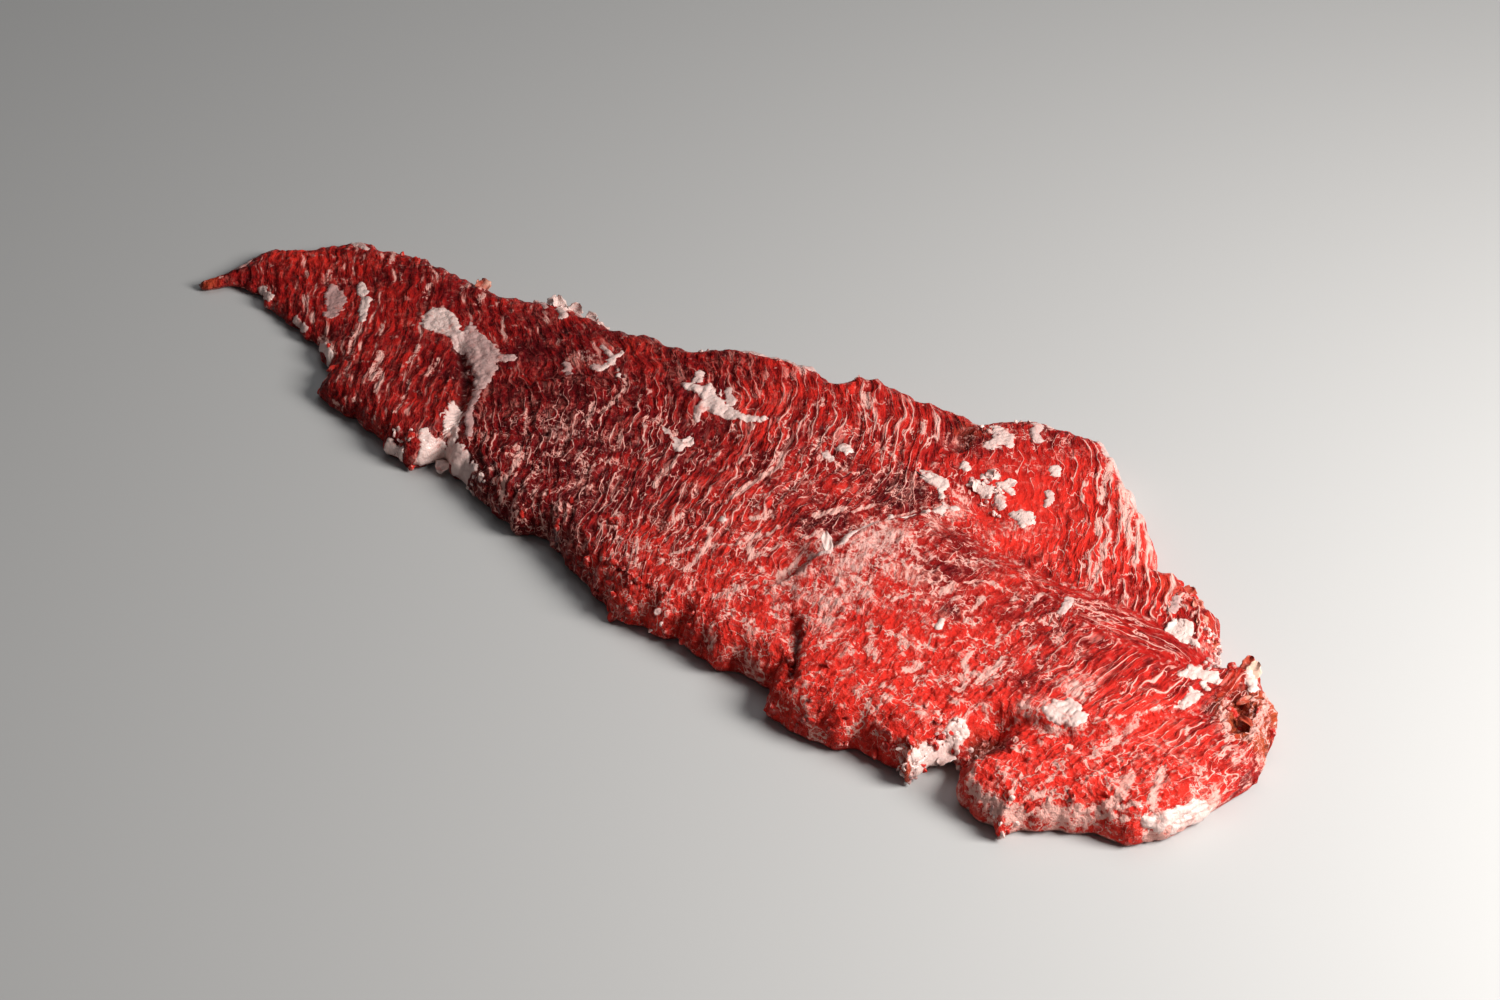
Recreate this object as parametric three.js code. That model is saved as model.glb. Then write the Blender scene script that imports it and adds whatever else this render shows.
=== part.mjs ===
// A raw wagyu flank steak: one thin wedge of muscle lying flat on its face, with a pointed tail at -X
// and a wide end at +X that is notched on its near side. Two muscles overlap in folds on the top,
// a band of fat crosses the root of the tail, and scraps of fat stay fused to the trimmed surface.
// Millimetres, +Z up. The origin is at the middle of the length and width, at the height of the underside.

import * as THREE from "three";

// Driving dimensions
const tailThickness = 7;
const middleThickness = 14.5;
const wideThickness = 15;
const leastThickness = 2.6; // meat left under the deepest crease
const rimHeight = 3.4; // height of the outermost line of the edge above the underside
const topRound = 9; // how far in from the outline the top keeps rising
const baseRound = 3.5; // how far in from the outline the underside becomes flat

// Where the thickness changes along the length
const tailEnds = { from: -205, to: -30 };
const wideEnds = { from: 20, to: 140 };

// The tip of the tail has this share of the thickness it would have otherwise
const tipThinning = { share: 0.75, from: -223, to: -205 };

// Mesh resolution
const stationCount = 142;
const topColumns = 34;
const baseInset = 4; // from the outline to the first flat column of the underside
const widestInset = 0.35; // the same as a share of a narrow section
const endCrowding = 0.3; // share of cosine spacing, which packs stations and columns near the edges

// The outline as seen from above: [along, across] in millimetres, from the tail to the wide end
const tailTip = [-223, -23.5];
const wideTip = [223, -19];

const nearEdge = [
  tailTip, [-220, -24.8], [-216, -22.5], [-212, -17], [-204, -15], [-197, -15], [-192, -19.5], [-178, -22],
  [-160, -26.2], [-156, -30.3], [-148, -34.6], [-144, -39.5], [-140, -47], [-136, -48.5], [-118, -51],
  [-105, -53], [-100, -56.5], [-91, -58.8], [-85, -56], [-82.5, -48.5], [-79, -48], [-75, -51.5], [-66, -54],
  [-60, -57.3], [-45, -60.2], [-36, -63.3], [-31, -61], [-24, -61.2], [-12, -65.6], [0, -70.8], [12, -75],
  [20, -76.2], [28, -74.8], [36, -76.4], [40, -72], [44, -74], [60, -76.3], [67, -74], [77, -74], [82, -81.3],
  [91, -85.8], [104, -85], [116, -79.8], [132, -81], [136, -82.6], [138, -73], [142, -67], [148, -70],
  [152, -79.3], [157, -82.6], [168, -82.8], [171, -85.4], [175, -78], [184, -73], [192, -68], [204, -64],
  [212, -56.5], [216, -46], [220, -31], wideTip,
];

const farEdge = [
  tailTip, [-220, -19], [-217.5, -12], [-216, 2], [-213, 9], [-209, 10], [-205, 14], [-201, 17], [-196, 22],
  [-191, 28.5], [-186, 31], [-178, 32], [-170, 33.5], [-156, 35.5], [-146, 34.5], [-138, 33], [-134, 34],
  [-124, 33.5], [-111, 36], [-98, 40.5], [-84, 39.8], [-72, 40.3], [-62, 42.5], [-51, 43.2], [-42, 46.5],
  [-30, 55], [-16, 60], [0, 61.5], [8.5, 60], [12.5, 67.6], [18, 70.3], [50, 70.3], [62, 71.8], [72, 80],
  [82, 84.5], [97, 87.3], [103, 86], [120, 74.3], [136, 60], [146, 51], [151, 41.5], [156, 42.5], [165, 38.8],
  [177, 34.7], [182, 28.8], [188, 18.7], [192, 13], [196, 17.8], [201, 19], [208, 12.2], [215, 6.5],
  [220, -8], wideTip,
];

// Swells and hollows of the top: centre, radii along and across before the turn, turn in degrees, rise
const swells = [
  { at: [88, -20], radii: [34, 32], turn: 20, rise: 6 }, // the muscle under the pale membrane
  { at: [158, -6], radii: [32, 14], turn: -8, rise: 3.4 }, // ridge that runs to the wide end
  { at: [170, -28], radii: [20, 14], turn: 0, rise: 1.6 },
  { at: [110, 55], radii: [24, 16], turn: -50, rise: -1.6 },
  { at: [134, 32], radii: [22, 12], turn: -55, rise: 1.4 },
  { at: [104, -68], radii: [30, 14], turn: 0, rise: 2.2 },
  { at: [20, -60], radii: [40, 16], turn: -8, rise: 1.8 },
  { at: [-12, 7], radii: [16, 8], turn: -8, rise: -2 }, // smooth bare dip under the fat patch
  { at: [-45, -25], radii: [34, 22], turn: -40, rise: 1.6 },
  { at: [22, 36], radii: [44, 18], turn: 0, rise: 1.2 },
  { at: [-125, -28], radii: [26, 16], turn: -40, rise: 2.2 },
  { at: [-156, 16], radii: [26, 12], turn: -8, rise: 1.2 },
  { at: [-170, -6], radii: [12, 8], turn: -50, rise: -1 },
  { at: [149, -60], radii: [5.5, 11], turn: -10, rise: -11 }, // floor of the notch beside the flap
  { at: [90, 29], radii: [11, 4.5], turn: -14, rise: -3.6 }, // torn pocket under the fat flakes
  { at: [65, 54], radii: [4, 6], turn: 10, rise: -2.6 },
  { at: [209, -7], radii: [9, 2.8], turn: -62, rise: -5 }, // trough behind the curled end
  { at: [216, -10], radii: [14, 3.5], turn: -75, rise: 1.2 },
  { at: [181, 22], radii: [9, 5], turn: -40, rise: 1.6 },
];

// Lines where one muscle lies over another. Left and right are how far the two sides of the path, walking
// along it, stand above the rest; groove is the depth of the line itself; reach is how far that rise fades in
const folds = [
  {
    path: [[60, -40], [61, -30], [63, -20], [64, -11], [67, -3], [71, 4], [76, 12]],
    left: -2.2, right: 2, groove: 1.4, width: 2, reach: 16,
  },
  {
    path: [[146, -51], [156, -48], [166, -49], [173, -46], [181, -39], [187, -31], [191, -22]],
    left: 2.6, right: -0.6, groove: 1.2, width: 1.7, reach: 14,
  },
  {
    path: [[87, -76], [84, -69], [79, -61], [74, -56]],
    left: -1.6, right: 0.8, groove: 2.2, width: 1.9, reach: 11,
  },
  {
    path: [[84, 12], [105, 10], [130, 10], [155, 13], [172, 13], [186, 8]],
    left: -0.4, right: 0.3, groove: 0.5, width: 2.4, reach: 12,
  },
  {
    path: [[-113, -3], [-105, -10], [-97, -18], [-91, -26], [-87, -34], [-82, -44]],
    left: -0.6, right: 0.6, groove: 2.4, width: 2.8, reach: 10,
  },
  {
    path: [[-75, -8], [-72, 0], [-66, 6], [-55, 11]],
    left: -0.7, right: 0.7, groove: 0.6, width: 2.2, reach: 12,
  },
  {
    path: [[-24, 0], [-15, -3], [-7, -1], [2, 7]],
    left: -0.6, right: 0.6, groove: 0.5, width: 2, reach: 9,
  },
];

// Fat that stands on the surface: centre, radii along and across before the turn, turn in degrees, rise
const fatLumps = [
  { at: [-128, 3], radii: [7.5, 5.5], turn: -10, rise: 1.2 },
  { at: [-114, 0], radii: [8, 3], turn: -30, rise: 0.8 },
  { at: [-106, 2], radii: [10, 5], turn: -35, rise: 1.5 },
  { at: [-95, -9], radii: [9, 4.5], turn: -50, rise: 1.5 },
  { at: [-85, -38], radii: [9, 3], turn: -62, rise: 1.6 },
  { at: [-80, -48], radii: [8, 4], turn: -30, rise: 1.8 },
  { at: [-86, -53], radii: [6, 4.5], turn: 12, rise: 2 },
  { at: [-92, 37], radii: [14, 3.5], turn: -4, rise: 2.2 },
  { at: [-62, 17], radii: [4, 8], turn: 8, rise: 1.2 },
  { at: [-56, 14], radii: [4, 2.5], turn: -40, rise: 1 },
  { at: [-19, 19], radii: [14, 3.8], turn: -8, rise: 1.5 },
  { at: [-27, 23], radii: [6, 3], turn: -10, rise: 1.2 },
  { at: [-11, -4], radii: [4, 3], turn: 0, rise: 0.9 },
  { at: [60.5, -24.5], radii: [5, 3], turn: -45, rise: 2.6 },
  { at: [73, 30], radii: [9, 4], turn: -10, rise: 1.8 },
  { at: [80, 22], radii: [6, 3.5], turn: -50, rise: 1.6 },
  { at: [84, 39], radii: [7, 6], turn: -20, rise: 3.2 },
  { at: [91, 38], radii: [4, 5], turn: 0, rise: 2.8 },
  { at: [103, 31], radii: [5, 5], turn: 0, rise: 3 },
  { at: [175, 15], radii: [6, 5], turn: -20, rise: 3 },
  { at: [183, 11], radii: [6, 2.5], turn: -30, rise: 2 },
  { at: [189, -1], radii: [7, 4], turn: 20, rise: 1.3 },
  { at: [194, -13], radii: [3, 6.5], turn: 0, rise: 1.2 },
  { at: [166, -42], radii: [7, 5], turn: -10, rise: 2.8 },
  { at: [199, 18], radii: [4, 5], turn: 20, rise: 3 },
  { at: [149, -64], radii: [5, 4], turn: 0, rise: 1.2 },
  { at: [138, -78], radii: [5, 4], turn: 20, rise: 1.8 },
  { at: [172, -79], radii: [14, 4], turn: -10, rise: 1 },
  { at: [213, -48], radii: [5, 14], turn: 12, rise: 1.4 },
];

// Bundles of fibre show as low ridges: they lean from straight-across by this many degrees along the length
const grainLean = [
  [-222, 36], [-150, 34], [-80, 42], [-30, 26], [20, 2], [60, -6], [110, 12], [170, -8], [222, -14],
];
const ridges = [
  { wavelength: 15.5, phase: 0.4, height: 0.2 },
  { wavelength: 10.7, phase: 2.1, height: 0.16 },
  { wavelength: 27.1, phase: 4.4, height: 0.25 },
];
const ridgeWander = { size: 2.2, across: 11, along: 17 };

// Nibbles of the trimmed edge: wavelengths that don't repeat together, and unlike on the two sides
const nibbles = [
  { wavelength: 12.3, phase: 1.1, depth: 0.55 },
  { wavelength: 8.1, phase: 3.7, depth: 0.4 },
  { wavelength: 29.0, phase: 0.2, depth: 0.6 },
];
const nibbleStretch = 0.07;
const nibbleShift = 40;
const nibbleFade = 8; // length at each tip where the nibbles die away

// The rim of the edge rises and falls a little, and is lower at the tail
const rimSwing = { share: 0.22, along: 13, across: 21 };
const tailRim = { share: 0.6, from: -200, to: -110 };

const clamp01 = (value) => Math.min(1, Math.max(0, value));
const mix = (a, b, share) => a + (b - a) * share;
const smooth = (share) => share * share * (3 - 2 * share);
const shareOf = (x, { from, to }) => clamp01((x - from) / (to - from));
const wave = (distance, { wavelength, phase }) => Math.sin((2 * Math.PI * distance) / wavelength + phase);

// Smooth value of a table of [along, value] at x, with no overshoot beyond neighbouring rows
function tableAt(table, x) {
  let k = 0;
  while (k < table.length - 2 && x > table[k + 1][0]) k++;
  const slope = (i) => (table[i + 1][1] - table[i][1]) / (table[i + 1][0] - table[i][0]);
  const tangent = (i) => {
    if (i === 0) return slope(0);
    if (i === table.length - 1) return slope(i - 1);
    const before = slope(i - 1);
    const after = slope(i);
    return before * after <= 0 ? 0 : (2 * before * after) / (before + after);
  };
  const span = table[k + 1][0] - table[k][0];
  const t = clamp01((x - table[k][0]) / span);
  const bow = t * (1 - t) * span;
  return mix(table[k][1], table[k + 1][1], smooth(t)) + bow * ((1 - t) * tangent(k) - t * tangent(k + 1));
}

// The edge with its nibbles. Side is -1 for the near edge and 1 for the far edge
function edgeAt(table, side, x) {
  const along = x * (1 + nibbleStretch * side) + nibbleShift * side;
  const bite = nibbles.reduce((sum, n) => sum + n.depth * wave(along, n), 0);
  const fade = clamp01((wideTip[0] - Math.abs(x)) / nibbleFade);
  return tableAt(table, x) + side * fade * bite;
}

// Evenly spaced shares from 0 to 1, moved partly towards a cosine spacing
function crowded(index, count) {
  const share = index / count;
  return mix(share, (1 - Math.cos(Math.PI * share)) / 2, endCrowding);
}

const stations = Array.from({ length: stationCount + 1 }, (_, i) =>
  mix(tailTip[0], wideTip[0], crowded(i, stationCount)),
);
const outline = [
  ...stations.map((x) => [x, edgeAt(nearEdge, -1, x)]),
  ...stations.slice(1, -1).reverse().map((x) => [x, edgeAt(farEdge, 1, x)]),
];

// Where p lies beside the segment from a to b: share along it, distance from it, and the side, 1 for left
function besideSegment(p, a, b) {
  const run = [b[0] - a[0], b[1] - a[1]];
  const offset = [p[0] - a[0], p[1] - a[1]];
  const length = Math.hypot(...run);
  const share = (offset[0] * run[0] + offset[1] * run[1]) / (length * length);
  const held = clamp01(share);
  const away = Math.hypot(offset[0] - held * run[0], offset[1] - held * run[1]);
  return { share, length, away, side: Math.sign(run[0] * offset[1] - run[1] * offset[0]) || 1 };
}

// Distance from p to the outline, out to the depth where nothing changes any more
function distanceToOutline(p) {
  let least = topRound;
  outline.forEach((a, i) => {
    if (Math.abs(a[0] - p[0]) > 2 * topRound) return;
    least = Math.min(least, besideSegment(p, a, outline[(i + 1) % outline.length]).away);
  });
  return least;
}

// Distance from a lump's centre in units of its radii
function lumpRadius(p, { at, radii, turn }) {
  const angle = THREE.MathUtils.degToRad(turn);
  const offset = [p[0] - at[0], p[1] - at[1]];
  const along = offset[0] * Math.cos(angle) + offset[1] * Math.sin(angle);
  const across = offset[1] * Math.cos(angle) - offset[0] * Math.sin(angle);
  return Math.hypot(along / radii[0], across / radii[1]);
}

const swellRise = (p) => swells.reduce((sum, s) => sum + s.rise * Math.exp(-(lumpRadius(p, s) ** 2)), 0);

// A fat lump has a flat crown out to half its radii and ends a little outside them
const fatShoulder = { from: 1.15, to: 0.5 };
function fatRise(p) {
  return fatLumps.reduce((sum, f) => sum + f.rise * smooth(shareOf(lumpRadius(p, f), fatShoulder)), 0);
}

// Rise of one fold at p: a groove on its line, and a step that fades away from it and past its two ends
function foldRise(p, { path, left, right, groove, width, reach }) {
  let near = { away: Infinity };
  let beyond = 0;
  path.slice(1).forEach((end, i) => {
    const here = besideSegment(p, path[i], end);
    if (here.away >= near.away) return;
    near = here;
    const before = i === 0 ? -here.share : 0;
    const after = i === path.length - 2 ? here.share - 1 : 0;
    beyond = here.length * Math.max(before, after, 0);
  });
  const ending = Math.exp(-((beyond / (2 * width)) ** 2));
  const leftShare = (1 + Math.tanh((near.side * near.away) / width)) / 2;
  const step = mix(right, left, leftShare) * Math.exp(-((near.away / reach) ** 2));
  return ending * (step - groove * Math.exp(-((near.away / width) ** 2)));
}

// Low ridges along the grain, which run across the steak and lean with the length
function grainRise([x, y]) {
  const lean = Math.tan(THREE.MathUtils.degToRad(tableAt(grainLean, x)));
  const wander = ridgeWander.size * Math.sin(y / ridgeWander.across + x / ridgeWander.along);
  return ridges.reduce((sum, r) => sum + r.height * wave(x + y * lean + wander, r), 0);
}

function restThickness([x]) {
  const body = mix(middleThickness, wideThickness, shareOf(x, wideEnds));
  return mix(tailThickness, body, smooth(shareOf(x, tailEnds)));
}

function rimAt([x, y]) {
  const swing = rimSwing.share * Math.sin(x / rimSwing.along) * Math.cos(y / rimSwing.across);
  return rimHeight * (1 + swing) * mix(tailRim.share, 1, shareOf(x, tailRim));
}

const thinnedAt = ([x]) => mix(tipThinning.share, 1, smooth(shareOf(x, tipThinning)));

// Quarter of an ellipse: 0 at the outline, 1 once depth reaches round
const rounded = (depth, round) => Math.sqrt(1 - (1 - clamp01(depth / round)) ** 2);

function topHeight(p, depth) {
  const foldsRise = folds.reduce((sum, f) => sum + foldRise(p, f), 0);
  const relief = swellRise(p) + grainRise(p) + fatRise(p) + foldsRise;
  const crown = Math.max(restThickness(p) + relief, leastThickness + rimAt(p));
  return mix(rimAt(p), crown, rounded(depth, topRound));
}

const baseHeight = (p, depth) => rimAt(p) * (1 - rounded(depth, baseRound));

// One closed loop of points round the steak at a station: over the top from near to far, back under
function sectionLoop(x) {
  const near = edgeAt(nearEdge, -1, x);
  const far = edgeAt(farEdge, 1, x);
  const pointAt = (share, heightOf) => {
    const p = [x, mix(near, far, share)];
    const depth = share === 0 || share === 1 ? 0 : distanceToOutline(p);
    return new THREE.Vector3(...p, heightOf(p, depth) * thinnedAt(p));
  };
  const topShares = Array.from({ length: topColumns + 1 }, (_, j) => crowded(j, topColumns));
  const inset = Math.min(widestInset, baseInset / (far - near));
  const baseShares = [1 - inset / 3, 1 - inset, 0.5, inset, inset / 3];
  const top = topShares.map((share) => pointAt(share, topHeight));
  return [...top, ...baseShares.map((share) => pointAt(share, baseHeight))];
}

// Joins the loops into one closed surface, with a fan of triangles at each tip
function steakGeometry() {
  const loops = stations.slice(1, -1).map(sectionLoop);
  const around = loops[0].length;
  const tips = [tailTip, wideTip].map((p) => new THREE.Vector3(...p, rimAt(p) * thinnedAt(p)));
  const points = [...loops.flat(), ...tips];
  const [tailIndex, wideIndex] = [points.length - 2, points.length - 1];
  const lastLoop = (loops.length - 1) * around;
  const triangles = [];
  for (let j = 0; j < around; j++) {
    const next = (j + 1) % around;
    triangles.push(tailIndex, j, next);
    triangles.push(wideIndex, lastLoop + next, lastLoop + j);
    for (let here = 0; here < lastLoop; here += around) {
      const there = here + around;
      triangles.push(here + j, there + j, there + next);
      triangles.push(here + j, there + next, here + next);
    }
  }
  const geometry = new THREE.BufferGeometry().setFromPoints(points);
  geometry.setIndex(triangles);
  const middle = new THREE.Box3().setFromPoints(points).getCenter(new THREE.Vector3());
  geometry.translate(-middle.x, -middle.y, 0);
  geometry.computeVertexNormals();
  return geometry;
}

const rawBeef = new THREE.MeshStandardMaterial({ color: 0xa8332c, roughness: 0.38, metalness: 0 });

const steak = new THREE.Mesh(steakGeometry(), rawBeef);
steak.name = "steak";

const model = new THREE.Group();
model.add(steak);

export default model;
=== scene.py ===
# Raw marbled flank steak lying on its flat underside, pointed tail at -X and wide end at +X.
# Shapes are worked out in millimetres and turned into metres where each mesh is made.
import bpy
import numpy as np
from math import cos, radians, sin
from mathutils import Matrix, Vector


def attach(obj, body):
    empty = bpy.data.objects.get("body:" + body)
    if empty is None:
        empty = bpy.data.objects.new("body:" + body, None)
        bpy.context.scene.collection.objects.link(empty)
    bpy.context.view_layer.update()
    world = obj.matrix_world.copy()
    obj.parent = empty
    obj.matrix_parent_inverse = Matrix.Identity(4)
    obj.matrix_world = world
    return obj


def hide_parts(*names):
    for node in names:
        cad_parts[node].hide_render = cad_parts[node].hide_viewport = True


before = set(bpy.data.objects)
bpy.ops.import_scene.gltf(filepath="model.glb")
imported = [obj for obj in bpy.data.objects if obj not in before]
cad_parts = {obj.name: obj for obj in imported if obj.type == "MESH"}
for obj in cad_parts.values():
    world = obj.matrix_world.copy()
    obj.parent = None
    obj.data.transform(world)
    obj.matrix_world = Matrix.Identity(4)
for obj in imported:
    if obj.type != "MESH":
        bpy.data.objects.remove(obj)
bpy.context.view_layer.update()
print("frame loaded")

millimetre = 0.001


def addObject(name, data):
    made = bpy.data.objects.new(name, data)
    bpy.context.collection.objects.link(made)
    return made


# Camera and light

viewpoint = {
    "target": (0.0151, -0.001, 0.0),
    "azimuth": 36.5,
    "elevation": 40.0,
    "distance": 1.07,
    "lens": 75.0,
    "sensor": 36.0,
    "clip": (0.01, 20.0),
}


def aroundTarget(target, azimuth, elevation, distance):
    turn, rise = radians(azimuth), radians(elevation)
    arm = Vector((sin(turn) * cos(rise), -cos(turn) * cos(rise), sin(rise)))
    return Vector(target) + distance * arm


def aimAt(thing, target):
    thing.rotation_euler = (Vector(target) - thing.location).to_track_quat("-Z", "Y").to_euler()


def makeCamera(v):
    data = bpy.data.cameras.new("camera")
    data.lens, data.sensor_width = v["lens"], v["sensor"]
    data.clip_start, data.clip_end = v["clip"]
    camera = addObject("camera", data)
    camera.location = aroundTarget(v["target"], v["azimuth"], v["elevation"], v["distance"])
    aimAt(camera, v["target"])
    bpy.context.scene.camera = camera


# Each softbox shines on the origin from (azimuth, elevation, distance)
softboxes = [
    {"name": "key", "from": (103, 37, 0.85), "size": 0.36, "watts": 10.4, "tint": (1, 0.97, 0.94)},
    {"name": "top", "from": (200, 68, 1.6), "size": 1.2, "watts": 3.5, "tint": (0.97, 0.98, 1)},
]

studio = {"strength": 0.06, "tint": (0.95, 0.97, 1.0, 1.0)}


def makeSoftbox(box):
    data = bpy.data.lights.new(box["name"], "AREA")
    data.shape, data.size = "SQUARE", box["size"]
    data.energy, data.color = box["watts"], box["tint"]
    light = addObject(box["name"], data)
    light.location = aroundTarget((0, 0, 0), *box["from"])
    aimAt(light, (0, 0, 0))


def makeWorld():
    world = bpy.data.worlds.new("studio")
    world.use_nodes = True
    background = world.node_tree.nodes["Background"]
    background.inputs["Color"].default_value = studio["tint"]
    background.inputs["Strength"].default_value = studio["strength"]
    bpy.context.scene.world = world
    bpy.context.scene.view_settings.view_transform = "Standard"


makeCamera(viewpoint)
for softbox in softboxes:
    makeSoftbox(softbox)
makeWorld()
print("camera and lights made")


# Node trees written as Python expressions, for materials and Geometry Nodes alike


class Wire:
    # one output socket; an operator on it adds a Math node
    def __init__(self, bench, socket):
        self.bench, self.socket = bench, socket

    def maths(self, operation, *values):
        return self.bench.node("ShaderNodeMath", {"operation": operation}, dict(enumerate(values)))

    def __add__(self, other):
        return self.maths("ADD", self, other)

    def __radd__(self, other):
        return self.maths("ADD", other, self)

    def __sub__(self, other):
        return self.maths("SUBTRACT", self, other)

    def __rsub__(self, other):
        return self.maths("SUBTRACT", other, self)

    def __mul__(self, other):
        return self.maths("MULTIPLY", self, other)

    def __truediv__(self, other):
        return self.maths("DIVIDE", self, other)

    def __abs__(self):
        return self.maths("ABSOLUTE", self)

    def most(self, other):
        return self.maths("MAXIMUM", self, other)

    def wave(self):
        # 0 at every whole number and 1 halfway between them
        return self.maths("PINGPONG", self, 0.5) * 2

    def compared(self, operation, limit):
        return self.bench.node("FunctionNodeCompare", {"operation": operation}, {"A": self, "B": limit})

    def under(self, limit):
        return self.compared("LESS_THAN", limit)

    def over(self, limit):
        return self.compared("GREATER_THAN", limit)

    def step(self, low, high):
        # 0 below low and 1 above high, eased between
        inputs = {"Value": self, "From Min": low, "From Max": high}
        return self.bench.node("ShaderNodeMapRange", {"interpolation_type": "SMOOTHSTEP"}, inputs)


class Bench:
    # adds nodes to one tree, of a material or of Geometry Nodes
    def __init__(self, tree):
        self.tree = tree
        self.inShader = tree.bl_idname == "ShaderNodeTree"

    def node(self, kind, settings=None, inputs=None, out=0):
        made = self.tree.nodes.new(kind)
        for name, value in (settings or {}).items():
            setattr(made, name, value)
        for key, value in (inputs or {}).items():
            self.feed(made.inputs[key], value)
        return Wire(self, made.outputs[out])

    def feed(self, socket, value):
        if isinstance(value, Wire):
            self.tree.links.new(value.socket, socket)
        elif socket.type == "RGBA":
            socket.default_value = (*value, 1.0)
        else:
            socket.default_value = value

    def stored(self, name):
        # a vector kept at each point of the mesh
        if self.inShader:
            return self.node("ShaderNodeAttribute", {"attribute_name": name}, out=1)
        return self.node("GeometryNodeInputNamedAttribute", {"data_type": "FLOAT_VECTOR"}, {"Name": name})

    def attribute(self, name):
        # the three numbers of such a vector
        split = self.node("ShaderNodeSeparateXYZ", inputs={0: self.stored(name)})
        return [Wire(self, output) for output in split.socket.node.outputs]

    def vector(self, x, y, z):
        return self.node("ShaderNodeCombineXYZ", inputs={0: x, 1: y, 2: z})

    def scaled(self, vector, amount):
        return self.node("ShaderNodeVectorMath", {"operation": "SCALE"}, {0: vector, "Scale": amount})

    def warped(self, place, size, amount):
        # the place pushed about by a noise of the given size, in the place's own units
        inputs = {"Vector": place, "Scale": 1 / size, "Detail": 2.0}
        push = self.node("ShaderNodeTexNoise", {"noise_dimensions": "3D"}, inputs, out=1)
        middle = self.node("ShaderNodeVectorMath", {"operation": "SUBTRACT"}, {0: push, 1: (0.5, 0.5, 0.5)})
        far = self.scaled(middle, amount)
        return self.node("ShaderNodeVectorMath", {"operation": "ADD"}, {0: place, 1: far})

    def noise(self, place, size, detail=2.0, roughness=0.5):
        inputs = {"Vector": place, "Scale": 1 / size, "Detail": detail, "Roughness": roughness}
        return self.node("ShaderNodeTexNoise", {"noise_dimensions": "3D"}, inputs)

    def layered(self, colour, layers, look):
        # the colour under layers of (share, name of a colour), each over the one before
        settings = {"data_type": "RGBA", "blend_type": "MIX", "clamp_factor": True}
        for share, name in layers:
            colour = self.node("ShaderNodeMix", settings, {0: share, 6: colour, 7: look[name]}, out=2)
        return colour


class Growth(Bench):
    # a Geometry Nodes tree with named inputs that ends by giving its result a material
    def __init__(self, name, values):
        tree = bpy.data.node_groups.new(name, "GeometryNodeTree")
        super().__init__(tree)
        for way in ("INPUT", "OUTPUT"):
            tree.interface.new_socket("Geometry", in_out=way, socket_type="NodeSocketGeometry")
        for label, value in values.items():
            kind = "NodeSocketInt" if isinstance(value, int) else "NodeSocketFloat"
            tree.interface.new_socket(label, in_out="INPUT", socket_type=kind).default_value = value
        entry = tree.nodes.new("NodeGroupInput")
        self.source = Wire(self, entry.outputs["Geometry"])
        self.size = {label: Wire(self, entry.outputs[label]) for label in values}

    def moved(self, geometry, direction, distance):
        offset = self.scaled(direction, distance)
        return self.node("GeometryNodeSetPosition", inputs={"Geometry": geometry, "Offset": offset})

    def without(self, geometry, selection):
        # the mesh less the faces that are selected
        inputs = {"Geometry": geometry, "Selection": selection}
        return self.node("GeometryNodeDeleteGeometry", {"domain": "FACE"}, inputs)

    def spareEdges(self):
        # edges less faces at each point: 0 inside a sheet, 1 on its border, 2 where faces touch at a corner
        edges = self.node("GeometryNodeInputMeshVertexNeighbors")
        return edges - Wire(self, edges.socket.node.outputs["Face Count"])

    def dressed(self, geometry, material):
        whole = self.node("GeometryNodeRealizeInstances", inputs={"Geometry": geometry})
        shown = self.node("GeometryNodeSetMaterial", inputs={"Geometry": whole, "Material": material})
        result = self.tree.nodes.new("NodeGroupOutput")
        self.tree.links.new(shown.socket, result.inputs[0])
        return self.tree


# The steak's form, as in the solid

steakForm = {
    "tailThickness": 7.0,
    "middleThickness": 14.5,
    "wideThickness": 15.0,
    "leastThickness": 2.6,  # of the upper side over the rim
    "rimHeight": 3.4,
    "topRound": 9.0,  # how far in from the rim the upper side rises
    "baseRound": 3.5,
    "tailEnds": (-205, -30),  # where the tail's thickness grows to the middle's
    "wideEnds": (20, 140),
    "stations": 540,
    "topColumns": 150,
    "baseColumns": 15,
    "baseInset": 4.0,
    "widestInset": 0.35,
    "endCrowding": 0.3,
}

# The outline as seen from above, from the tail to the wide end
tailTip = (-223, -23.5)
wideTip = (223, -19)

nearEdge = [
    tailTip, (-220, -24.8), (-216, -22.5), (-212, -17), (-204, -15), (-197, -15), (-192, -19.5), (-178, -22),
    (-160, -26.2), (-156, -30.3), (-148, -34.6), (-144, -39.5), (-140, -47), (-136, -48.5), (-118, -51),
    (-105, -53), (-100, -56.5), (-91, -58.8), (-85, -56), (-82.5, -48.5), (-79, -48), (-75, -51.5),
    (-66, -54), (-60, -57.3), (-45, -60.2), (-36, -63.3), (-31, -61), (-24, -61.2), (-12, -65.6), (0, -70.8),
    (12, -75), (20, -76.2), (28, -74.8), (36, -76.4), (40, -72), (44, -74), (60, -76.3), (67, -74), (77, -74),
    (82, -81.3), (91, -85.8), (104, -85), (116, -79.8), (132, -81), (136, -82.6), (138, -73), (142, -67),
    (148, -70), (152, -79.3), (157, -82.6), (168, -82.8), (171, -85.4), (175, -78), (184, -73), (192, -68),
    (204, -64), (212, -56.5), (216, -46), (220, -31), wideTip,
]

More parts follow.
